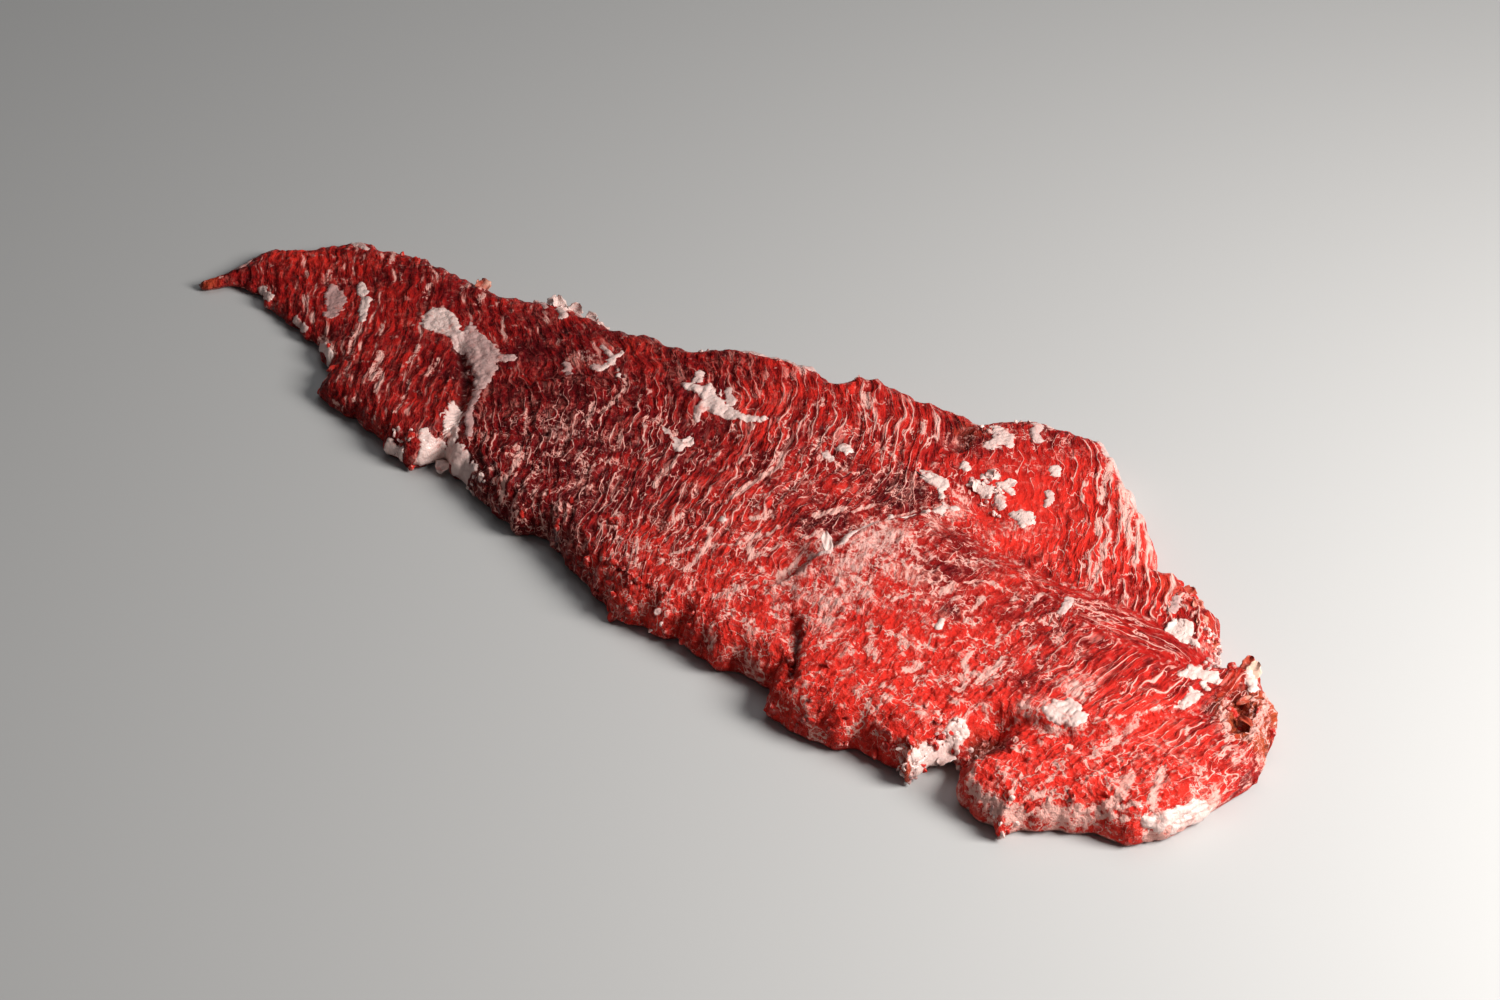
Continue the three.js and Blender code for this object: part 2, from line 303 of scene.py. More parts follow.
farEdge = [
    tailTip, (-220, -19), (-217.5, -12), (-216, 2), (-213, 9), (-209, 10), (-205, 14), (-201, 17), (-196, 22),
    (-191, 28.5), (-186, 31), (-178, 32), (-170, 33.5), (-156, 35.5), (-146, 34.5), (-138, 33), (-134, 34),
    (-124, 33.5), (-111, 36), (-98, 40.5), (-84, 39.8), (-72, 40.3), (-62, 42.5), (-51, 43.2), (-42, 46.5),
    (-30, 55), (-16, 60), (0, 61.5), (8.5, 60), (12.5, 67.6), (18, 70.3), (50, 70.3), (62, 71.8), (72, 80),
    (82, 84.5), (97, 87.3), (103, 86), (120, 74.3), (136, 60), (146, 51), (151, 41.5), (156, 42.5),
    (165, 38.8), (177, 34.7), (182, 28.8), (188, 18.7), (192, 13), (196, 17.8), (201, 19), (208, 12.2),
    (215, 6.5), (220, -8), wideTip,
]

# Swells and hollows of the upper side: centre, radii along and across before the turn, turn in degrees, rise
swells = [
    ((88, -20), (34, 32), 20, 6.0),
    ((158, -6), (32, 14), -8, 3.4),
    ((170, -28), (20, 14), 0, 1.6),
    ((110, 55), (24, 16), -50, -1.6),
    ((134, 32), (22, 12), -55, 1.4),
    ((104, -68), (30, 14), 0, 2.2),
    ((20, -60), (40, 16), -8, 1.8),
    ((-12, 7), (16, 8), -8, -2.0),
    ((-45, -25), (34, 22), -40, 1.6),
    ((22, 36), (44, 18), 0, 1.2),
    ((-125, -28), (26, 16), -40, 2.2),
    ((-156, 16), (26, 12), -8, 1.2),
    ((-170, -6), (12, 8), -50, -1.0),
    ((149, -60), (5.5, 11), -10, -11.0),
    ((90, 29), (11, 4.5), -14, -3.6),
    ((65, 54), (4, 6), 10, -2.6),
    ((209, -7), (9, 2.8), -62, -5.0),
    ((216, -10), (14, 3.5), -75, 1.2),
    ((181, 22), (9, 5), -40, 1.6),
]

# Lines along which two muscles meet
humpSeam = [(60, -40), (61, -30), (63, -20), (64, -11), (67, -3), (71, 4), (76, 12)]
flapSeam = [(146, -51), (156, -48), (166, -49), (173, -46), (181, -39), (187, -31), (191, -22)]
farSeam = [(84, 12), (105, 10), (130, 10), (155, 13), (172, 13), (186, 8)]
tailSeam = [(-113, -3), (-105, -10), (-97, -18), (-91, -26), (-87, -34), (-82, -44)]

# Folds: path, rise of its left and right side, depth and width of its groove, reach of the rise
folds = [
    (humpSeam, -2.2, 2.0, 1.4, 2.0, 16),
    (flapSeam, 2.6, -0.6, 1.2, 1.7, 14),
    ([(87, -76), (84, -69), (79, -61), (74, -56)], -1.6, 0.8, 2.2, 1.9, 11),
    (farSeam, -0.4, 0.3, 0.5, 2.4, 12),
    (tailSeam, -0.6, 0.6, 2.4, 2.8, 10),
    ([(-75, -8), (-72, 0), (-66, 6), (-55, 11)], -0.7, 0.7, 0.6, 2.2, 12),
    ([(-24, 0), (-15, -3), (-7, -1), (2, 7)], -0.6, 0.6, 0.5, 2.0, 9),
]

nibbles = [(12.3, 1.1, 0.55), (8.1, 3.7, 0.4), (29.0, 0.2, 0.6)]  # wavelength, phase, depth
nibbleStretch, nibbleShift, nibbleFade = 0.07, 40, 8
rimSwing = (0.22, 13, 21)  # share of the height, sizes along and across
tailRim = (0.6, -200, -110)  # share of the height at the tail, and where it grows to the whole
tipThinning = (0.75, -223, -205)


def smooth(share):
    return share * share * (3 - 2 * share)


def shareOf(x, low, high):
    return np.clip((x - low) / (high - low), 0, 1)


def mixed(a, b, share):
    return a + (b - a) * share


def tableAt(table, x):
    # smooth value of a table of (along, value), with no overshoot
    along, value = np.array(table, float).T
    slope = np.diff(value) / np.diff(along)
    before, after = slope[:-1], slope[1:]
    same = before * after > 0
    inner = np.where(same, 2 * before * after / np.where(same, before + after, 1), 0)
    tangent = np.concatenate([slope[:1], inner, slope[-1:]])
    k = np.clip(np.searchsorted(along, x) - 1, 0, len(slope) - 1)
    span = along[k + 1] - along[k]
    t = np.clip((x - along[k]) / span, 0, 1)
    bow = t * (1 - t) * span * ((1 - t) * tangent[k] - t * tangent[k + 1])
    return mixed(value[k], value[k + 1], smooth(t)) + bow


def edgeAt(table, side, x):
    along = x * (1 + nibbleStretch * side) + nibbleShift * side
    bite = sum(depth * np.sin(2 * np.pi * along / length + phase) for length, phase, depth in nibbles)
    fade = np.clip((wideTip[0] - abs(x)) / nibbleFade, 0, 1)
    return tableAt(table, x) + side * fade * bite


def crowded(count, form=steakForm):
    # shares from 0 to 1 that lie closer together near both ends
    share = np.arange(count + 1) / count
    return mixed(share, (1 - np.cos(np.pi * share)) / 2, form["endCrowding"])


def besidePath(x, y, path):
    # distance to a path, the side of it (1 is left) and how far the point lies past its two ends
    away, side, beyond = np.full(x.shape, 1e9), np.ones(x.shape), np.zeros(x.shape)
    last = len(path) - 2
    for i, (a, b) in enumerate(zip(path, path[1:])):
        runX, runY = b[0] - a[0], b[1] - a[1]
        offX, offY = x - a[0], y - a[1]
        length = np.hypot(runX, runY)
        share = (offX * runX + offY * runY) / length**2
        held = np.clip(share, 0, 1)
        here = np.hypot(offX - held * runX, offY - held * runY)
        past = length * np.maximum(-share if i == 0 else 0, share - 1 if i == last else 0)
        nearer = here < away
        away = np.where(nearer, here, away)
        side = np.where(nearer, np.where(runX * offY - runY * offX < 0, -1, 1), side)
        beyond = np.where(nearer, np.maximum(past, 0), beyond)
    return away, side, beyond


def lumpRadius(x, y, at, radii, turn):
    angle = radians(turn)
    offX, offY = x - at[0], y - at[1]
    along = offX * cos(angle) + offY * sin(angle)
    across = offY * cos(angle) - offX * sin(angle)
    return np.hypot(along / radii[0], across / radii[1])


def rimAt(x, y, form=steakForm):
    share, alongSize, acrossSize = rimSwing
    swing = share * np.sin(x / alongSize) * np.cos(y / acrossSize)
    return form["rimHeight"] * (1 + swing) * mixed(tailRim[0], 1, shareOf(x, *tailRim[1:]))


def thinnedAt(x):
    return mixed(tipThinning[0], 1, smooth(shareOf(x, *tipThinning[1:])))


def rounded(depth, reach):
    return np.sqrt(1 - (1 - np.clip(depth / reach, 0, 1)) ** 2)


def foldShape(x, y, fullGroove=2.4):
    # rise of all folds, and how far into one of their creases a point lies, which is painted as shade
    rise, creaseShade = np.zeros(x.shape), np.zeros(x.shape)
    for path, left, right, groove, width, reach in folds:
        away, side, beyond = besidePath(x, y, path)
        ending = np.exp(-((beyond / (2 * width)) ** 2))
        line = np.exp(-((away / width) ** 2))
        leftShare = (1 + np.tanh(side * away / width)) / 2
        step = mixed(right, left, leftShare) * np.exp(-((away / reach) ** 2))
        rise += ending * (step - groove * line)
        creaseShade = np.maximum(creaseShade, ending * line * min(1, groove / fullGroove))
    return rise, creaseShade


def topHeight(x, y, depth, form=steakForm):
    body = mixed(form["middleThickness"], form["wideThickness"], shareOf(x, *form["wideEnds"]))
    crown = mixed(form["tailThickness"], body, smooth(shareOf(x, *form["tailEnds"])))
    for at, radii, turn, rise in swells:
        crown = crown + rise * np.exp(-(lumpRadius(x, y, at, radii, turn) ** 2))
    foldRise, creaseShade = foldShape(x, y)
    rim = rimAt(x, y)
    crown = np.maximum(crown + foldRise, form["leastThickness"] + rim)
    return mixed(rim, crown, rounded(depth, form["topRound"])), creaseShade


def depthInside(xs, y, near, far, form=steakForm):
    # distance from each point of each station to the outline, up to the depth that matters
    reach = form["topRound"]
    closed = np.concatenate([np.stack([xs, near], 1), np.stack([xs, far], 1)[::-1]])
    start, end = closed, np.roll(closed, -1, 0)
    run = end - start
    depth = np.full(y.shape, reach)
    for i, x in enumerate(xs):
        close = (abs(start[:, 0] - x) < 2 * reach) & (np.hypot(*run.T) > 0)
        offX = x - start[close, 0]
        offY = y[i][:, None] - start[close, 1]
        held = np.clip((offX * run[close, 0] + offY * run[close, 1]) / (run[close] ** 2).sum(1), 0, 1)
        away = np.hypot(offX - held * run[close, 0], offY - held * run[close, 1])
        depth[i] = np.minimum(reach, away.min(1))
    return depth


# Muscles: each has its own run of fibres, given as (along, across, degrees of the fibres from +X).
# A muscle's patch is a rough polygon; the first one that holds a point wins, and the body takes the rest

muscles = {
    "tail": {
        "patch": [
            (-230, 60), (-141, 60), (-141, 38), (-136, 28), (-133, 18), (-131, 8), (-124, 0), *tailSeam,
            (-82, -70), (-230, -70),
        ],
        "fibres": [
            (-215, -8, -62), (-203, -8, -50), (-190, 4, -48), (-190, -12, -40), (-175, 22, -50),
            (-160, 25, -50), (-145, 20, -52), (-150, 0, -54), (-160, -15, -46), (-140, -20, -62),
            (-140, -38, -66), (-125, -30, -66), (-110, -30, -62), (-110, -45, -64), (-98, -38, -58),
        ],
    },
    "seam": {
        "patch": [
            *farSeam[:-1], (187, 8), (188, 2), (180, -2), (170, -3), (158, -4), (148, -4), (138, 1), (120, 3),
            (105, 4), (90, 5), (78, 8),
        ],
        "fibres": [
            (84, 8, -22), (95, 7, -12), (105, 6, -8), (120, 6, 2), (132, 6, 14), (142, 3, 36), (150, 6, 24),
            (150, -2, 40), (158, 9, 14), (158, 1, 24), (166, 9, 2), (168, 1, 0), (176, 8, -14), (176, 1, -22),
            (184, 5, -36), (183, -1, -48),
        ],
    },
    "far": {
        "patch": [
            (76, 12), (68, 26), (64, 45), (63, 62), (58, 110), (240, 110), *reversed(farSeam),
        ],
        "fibres": [
            (75, 70, -45), (90, 75, -52), (100, 78, -58), (112, 62, -60), (100, 50, -70), (118, 45, -66),
            (127, 56, -57), (140, 42, -58), (150, 32, -60), (135, 28, -72), (136, 18, -92), (85, 45, -60),
            (95, 22, -35), (80, 30, -50), (160, 25, -50), (175, 22, -50),
        ],
    },
    "flap": {
        "patch": [
            (147, -95), *flapSeam, (200, -16), (208, -10), (240, -2), (240, -95),
        ],
        "fibres": [
            (160, -65, -95), (180, -60, -100), (195, -40, -106), (205, -50, -110), (210, -25, -100),
            (200, -25, -104), (175, -75, -80),
        ],
    },
    "hump": {
        "patch": [
            (86, -95), (86, -76), (83, -68), (79, -61), (73, -56), (66, -52), *humpSeam, (240, 14),
            (240, -95),
        ],
        "fibres": [
            (68, -35, -46), (75, -10, -62), (80, -40, -50), (92, -20, -82), (92, -5, -62), (105, -10, -85),
            (110, -35, -92), (125, -10, -98), (125, -40, -100), (136, -6, -112), (146, -10, -106),
            (156, -12, -99), (168, -8, -92), (180, -8, -86), (190, -4, -84), (190, -14, -94), (160, -28, -96),
            (160, -42, -97), (172, -25, -95), (175, -38, -102), (184, -26, -106), (182, -36, -108),
            (150, -30, -100), (138, -28, -100), (198, 4, -84), (205, -2, -90), (212, -8, -94),
            (100, -70, -84), (130, -70, -96),
        ],
    },
    "body": {
        "patch": [],
        "fibres": [
            (-125, 22, -52), (-112, 24, -48), (-105, 20, -42), (-95, 25, -34), (-90, 8, -36), (-80, 25, -29),
            (-80, 0, -38), (-70, 30, -31), (-76, -22, -43), (-70, -38, -46), (-60, -45, -49), (-55, -5, -56),
            (-58, 14, -44), (-45, 28, -40), (-35, 45, -44), (-20, 48, -42), (0, 48, -41), (15, 55, -41),
            (35, 58, -43), (50, 60, -48), (58, 45, -50), (40, 42, -48), (-45, 5, -61), (-35, -8, -62),
            (-30, -35, -58), (-45, -45, -54), (-18, -10, -64), (-18, -35, -61), (-10, -55, -60),
            (-5, -15, -69), (2, -40, -68), (2, 8, -70), (8, 25, -62), (14, 12, -80), (20, 25, -70),
            (26, 5, -86), (20, -15, -84), (32, -30, -70), (42, -42, -62), (15, -60, -72), (50, -4, -112),
            (40, 12, -96), (56, -14, -116), (45, -20, -84), (45, 25, -74), (58, 22, -70), (60, -65, -40),
            (35, -70, -50),
        ],
    },
}

# The fit of the fibres: powers used, reach and spacing of the samples and how far they go past the fibres,
# how much an even spacing of the fibres counts, and the room left around the muscle
fibreFit = {"degree": 4, "reach": 16.0, "spacing": 7.0, "border": 12, "evenness": 0.35, "room": 10}


def insidePatch(x, y, patch):
    inside = np.zeros(x.shape, bool)
    for (ax, ay), (bx, by) in zip(patch, patch[1:] + patch[:1]):
        if ay == by:
            continue
        crosses = (ay > y) != (by > y)
        inside ^= crosses & (x < ax + (y - ay) * (bx - ax) / (by - ay))
    return inside


def muscleAt(x, y):
    index = np.full(x.shape, len(muscles) - 1)
    for k, muscle in reversed(list(enumerate(muscles.values()))[:-1]):
        index[insidePatch(x, y, muscle["patch"])] = k
    return index


def nearJoint(x, y, index, reaches=(1.0, 2.4), directions=8, gain=2.6):
    # 1 where two muscles meet, falling to 0 a few millimetres away
    crossed = np.zeros(x.shape)
    for reach in reaches:
        for angle in np.arange(directions) * 2 * np.pi / directions:
            crossed += muscleAt(x + reach * np.cos(angle), y + reach * np.sin(angle)) != index
    return smooth(np.clip(crossed * gain / (len(reaches) * directions), 0, 1))


def powers(degree):
    return [(i, j) for i in range(degree + 1) for j in range(degree + 1 - i) if i + j > 0]


def samplesOver(values, fit):
    return np.arange(values.min() - fit["border"], values.max() + fit["border"] + 1, fit["spacing"])


def fitAlong(fibres, fit=fibreFit, leastTrust=0.02):
    # two polynomials over a muscle: one grows across the fibres, the other along them, both in millimetres
    fx, fy, degrees = np.array(fibres, float).T
    middle = np.array([fx.mean(), fy.mean()])
    size = max(np.ptp(fx), np.ptp(fy)) / 2 + fit["room"]
    gx, gy = np.meshgrid(samplesOver(fx, fit), samplesOver(fy, fit))
    weight = np.exp(-((gx[..., None] - fx) ** 2 + (gy[..., None] - fy) ** 2) / (2 * fit["reach"] ** 2)) + 1e-9
    near = weight.sum(-1)
    angle = np.radians((weight * degrees).sum(-1) / near)
    trust = np.clip(near, leastTrust, 1)
    u, v = (gx - middle[0]) / size, (gy - middle[1]) / size
    terms = powers(fit["degree"])
    slopeX = np.stack([i * u ** max(i - 1, 0) * v**j for i, j in terms], -1) / size
    slopeY = np.stack([j * u**i * v ** max(j - 1, 0) for i, j in terms], -1) / size
    alongX, alongY = np.cos(angle)[..., None], np.sin(angle)[..., None]
    pace = np.sqrt(fit["evenness"])
    fits = []
    for goX, goY, stillX, stillY in ((-alongY, alongX, alongX, alongY), (alongX, alongY, -alongY, alongX)):
        go = (slopeX * goX + slopeY * goY) * pace * trust[..., None]
        still = (slopeX * stillX + slopeY * stillY) * trust[..., None]
        rows = np.concatenate([go.reshape(-1, len(terms)), still.reshape(-1, len(terms))])
        wanted = np.concatenate([(pace * trust).ravel(), np.zeros(trust.size)])
        fits.append(np.linalg.lstsq(rows, wanted, rcond=None)[0])
    return middle, size, terms, fits


def fibreCoordinates(x, y, index):
    across, along = np.zeros(x.shape), np.zeros(x.shape)
    for k, muscle in enumerate(muscles.values()):
        middle, size, terms, fits = fitAlong(muscle["fibres"])
        here = index == k
        u, v = (x[here] - middle[0]) / size, (y[here] - middle[1]) / size
        basis = np.stack([u**i * v**j for i, j in terms], -1)
        across[here], along[here] = basis @ fits[0], basis @ fits[1]
    return across, along


# Looks over the surface, each a base value and spots of (along, across, radius, value). Streaks of fat
# follow the fibres, webs and flecks lie on cut faces, the veil is a pale film over the meat, deep and vivid
# are darker and brighter lean, rough is the share of the relief, and brown is dried. Deep, brown and low
# vivid spots in the flap's notch wall, the crease at the wide end, the dip by the far edge and the ground
# left of the hump's rim are painted shade. Most values lie between 0 and 1, and one outside of that carries
# a small spot past its neighbours

lookSpots = {
    "streak": (0.5, [
        (-150, 10, 60, 0.45), (-125, -35, 22, 0.7), (-75, 0, 35, 0.45), (10, 50, 40, 0.75),
        (-40, -20, 24, 0.65), (0, -25, 26, 0.7), (30, -60, 20, 0.3), (60, -60, 14, 0.15), (125, 60, 20, 1.0),
        (145, 40, 20, 1.0), (135, 25, 10, 0.8), (100, 45, 18, 0.0), (112, 30, 14, 0.03), (84, 60, 12, 0.1),
        (178, -14, 22, 0.7), (186, -32, 12, 0.7), (160, -18, 14, 0.7), (148, -28, 14, 0.3),
        (100, 6, 10, 0.15), (125, 6, 9, 0.3), (150, 5, 12, 0.5), (-10, 8, 12, 0.1), (80, -15, 22, 0.03),
        (75, -40, 20, 0.03), (110, -30, 34, 0.03), (110, -66, 36, 0.0), (140, -50, 16, 0.05),
        (175, -66, 24, 0.05), (205, -50, 16, 0.2), (88, 30, 10, 0.05), (42, 8, 16, 0.2),
    ]),
    "web": (0.2, [
        (42, 8, 18, 0.7), (35, 25, 8, 0.5), (30, -60, 22, 0.6), (-40, -48, 20, 0.6), (120, -30, 30, 1.0),
        (90, -20, 28, 0.9), (105, -68, 36, 1.0), (60, -60, 16, 0.9), (175, -66, 26, 1.0), (205, -50, 14, 1.0),
        (140, -10, 12, 0.6), (98, 45, 20, 0.1), (85, 62, 14, 0.5), (178, -14, 22, 0.05), (210, -6, 8, 1.0),
        (115, 20, 14, 0.15),
    ]),
    "fleck": (0.2, [
        (42, 8, 16, 0.6), (105, -66, 40, 1.0), (175, -66, 28, 1.0), (85, -35, 26, 1.0), (60, -64, 20, 0.9),
        (125, -30, 28, 0.9), (80, -10, 20, 0.9), (205, -50, 12, 0.7), (30, -60, 22, 0.6), (98, 45, 20, 0.1),
        (178, -14, 22, 0.1), (-130, 0, 80, 0.15), (130, 45, 36, 0.08),
    ]),
    "veil": (0.0, [
        (70, -30, 12, 1.0), (75, -8, 13, 1.0), (84, -20, 15, 0.85), (80, -46, 14, 0.8), (-68, 16, 5, 0.6),
        (132, -66, 8, 0.4), (217, -42, 2.5, 1.0), (212, -53, 2.5, 0.8), (190, -20, 3, 0.4),
        (176, -78, 3, 0.5), (165, -80, 4, 0.7), (154, -80, 3, 0.6), (204, -47, 2, 1.0), (197, -56, 2, 0.9),
        (156, -43, 4, 1.0), (166, -41, 4, 0.9), (219, -22, 4, 0.8), (158, -43, 4, 0.9), (196, -45, 14, 0.4),
        (172, -66, 14, 0.35), (110, -66, 20, 0.2), (82, 28, 5, 0.8), (87, 18, 5, 0.7), (107, 26, 5, 0.8),
        (150, 44, 4, 0.7), (112, 78, 5, 0.7), (124, 68, 5, 0.6), (137, -72, 4, 0.8), (133, -79, 5, 0.6),
        (118, -79, 5, 0.4), (188, 14, 4, 0.7), (60, 4, 4, 0.3), (74, 66, 6, 0.5), (66, 74, 5, 0.5),
        (90, 78, 5, 0.4), (20, 68, 8, 0.3), (98, -26, 18, 0.35), (-47, -26, 5, 0.8), (-50, -19, 3, 0.5),
        (163, -29, 6, 1.1), (157, -22, 6, 0.5), (-176, -3, 7, 0.4), (90, 14, 16, 0.4), (-80, -38, 10, 0.3),
        (104, 22, 8, 0.5), (192, -20, 10, 0.2), (112, -6, 10, 0.35),
    ]),
    "deepAndShade": (0.25, [
        (152, -62, 6, 2.0), (95, 4, 7, 0.9), (106, -8, 6, 1.0), (99, -16, 5, 0.8), (118, 13, 4, 1.3),
        (113, -24, 3, 1.3), (113, -34, 3, 1.0), (134, -12, 6, 0.8), (-40, -32, 40, 0.9), (0, -20, 26, 0.6),
        (-82, 8, 26, 0.9), (-150, 0, 60, 0.6), (-30, 36, 16, 0.8), (-12, 10, 12, 0.6), (52, -8, 9, 0.9),
        (38, 18, 18, 0.6), (66, 18, 10, 1.0), (88, 30, 8, 0.6), (105, -64, 30, 0.0), (118, -46, 18, 0.0),
        (130, 45, 34, 0.0), (180, -62, 30, 0.0), (66, 56, 8, 1.0), (115, -5, 20, 0.6), (142, -14, 12, 0.5),
        (150, -40, 9, 0.7), (85, 66, 9, 0.6), (92, 84, 10, 0.5), (165, 24, 9, 0.5), (95, -80, 14, 0.5),
        (208, -8, 6, 1.0), (-100, -18, 10, 0.8), (120, 12, 14, 0.5), (62, -60, 10, 0.5),
    ]),
    "vivid": (0.35, [
        (152, -62, 6, -0.6), (110, -60, 34, 1.0), (112, 26, 28, 0.8), (104, -4, 9, 0.2), (180, -60, 30, 1.1),
        (200, -40, 14, 1.0), (130, -35, 24, 0.75), (-40, -30, 36, 0.0), (-150, 0, 50, 0.3),
        (-195, 15, 14, 1.0), (20, 0, 30, 0.5), (-94, -30, 9, 1.0), (-66, -44, 10, 0.6), (90, -20, 22, 0.4),
        (20, 45, 30, 0.5), (30, -62, 26, 0.8), (36, -28, 20, 0.75), (90, 72, 16, 0.5), (130, 50, 24, 0.75),
        (150, 2, 16, 0.3), (0, 34, 8, 0.8), (-52, 33, 8, 0.7),
    ]),
    "rough": (0.7, [
        (-40, -25, 40, 1.0), (15, -35, 30, 0.9), (-150, 0, 60, 0.6), (125, 50, 34, 0.3), (178, -10, 24, 0.3),
        (160, -20, 20, 0.35), (80, -20, 20, 0.45), (120, -30, 22, 0.7), (110, -72, 30, 1.0),
        (180, -62, 24, 0.9), (20, 45, 30, 0.6), (-80, 20, 30, 0.7), (210, -5, 8, 1.6),
    ]),
    "brown": (0.0, [
        (209, -6, 7, 0.9), (216, -10, 5, 1.1), (213, 5, 5, 1.1), (202, 17, 5, 0.7), (196, -24, 6, 0.4),
        (152, -62, 6, 0.5), (-222, -23, 6, 0.8), (-60, 34, 8, 0.35), (166, 36, 10, 0.5), (182, 26, 7, 0.5),
        (138, -80, 6, 0.9), (150, -60, 5, 0.5), (202, 4, 7, 0.5), (64, 60, 6, 0.5),
    ]),
}


def lookAt(x, y, name, baseWeight=0.25):
    base, spots = lookSpots[name]
    total, weight = np.full(x.shape, base * baseWeight), np.full(x.shape, baseWeight)
    for sx, sy, radius, value in spots:
        here = np.exp(-(((x - sx) ** 2 + (y - sy) ** 2) / radius**2))
        total, weight = total + here * value, weight + here
    return total / weight


# The boldest veins inside the flesh, placed one by one: a path, its half width, and how white it is

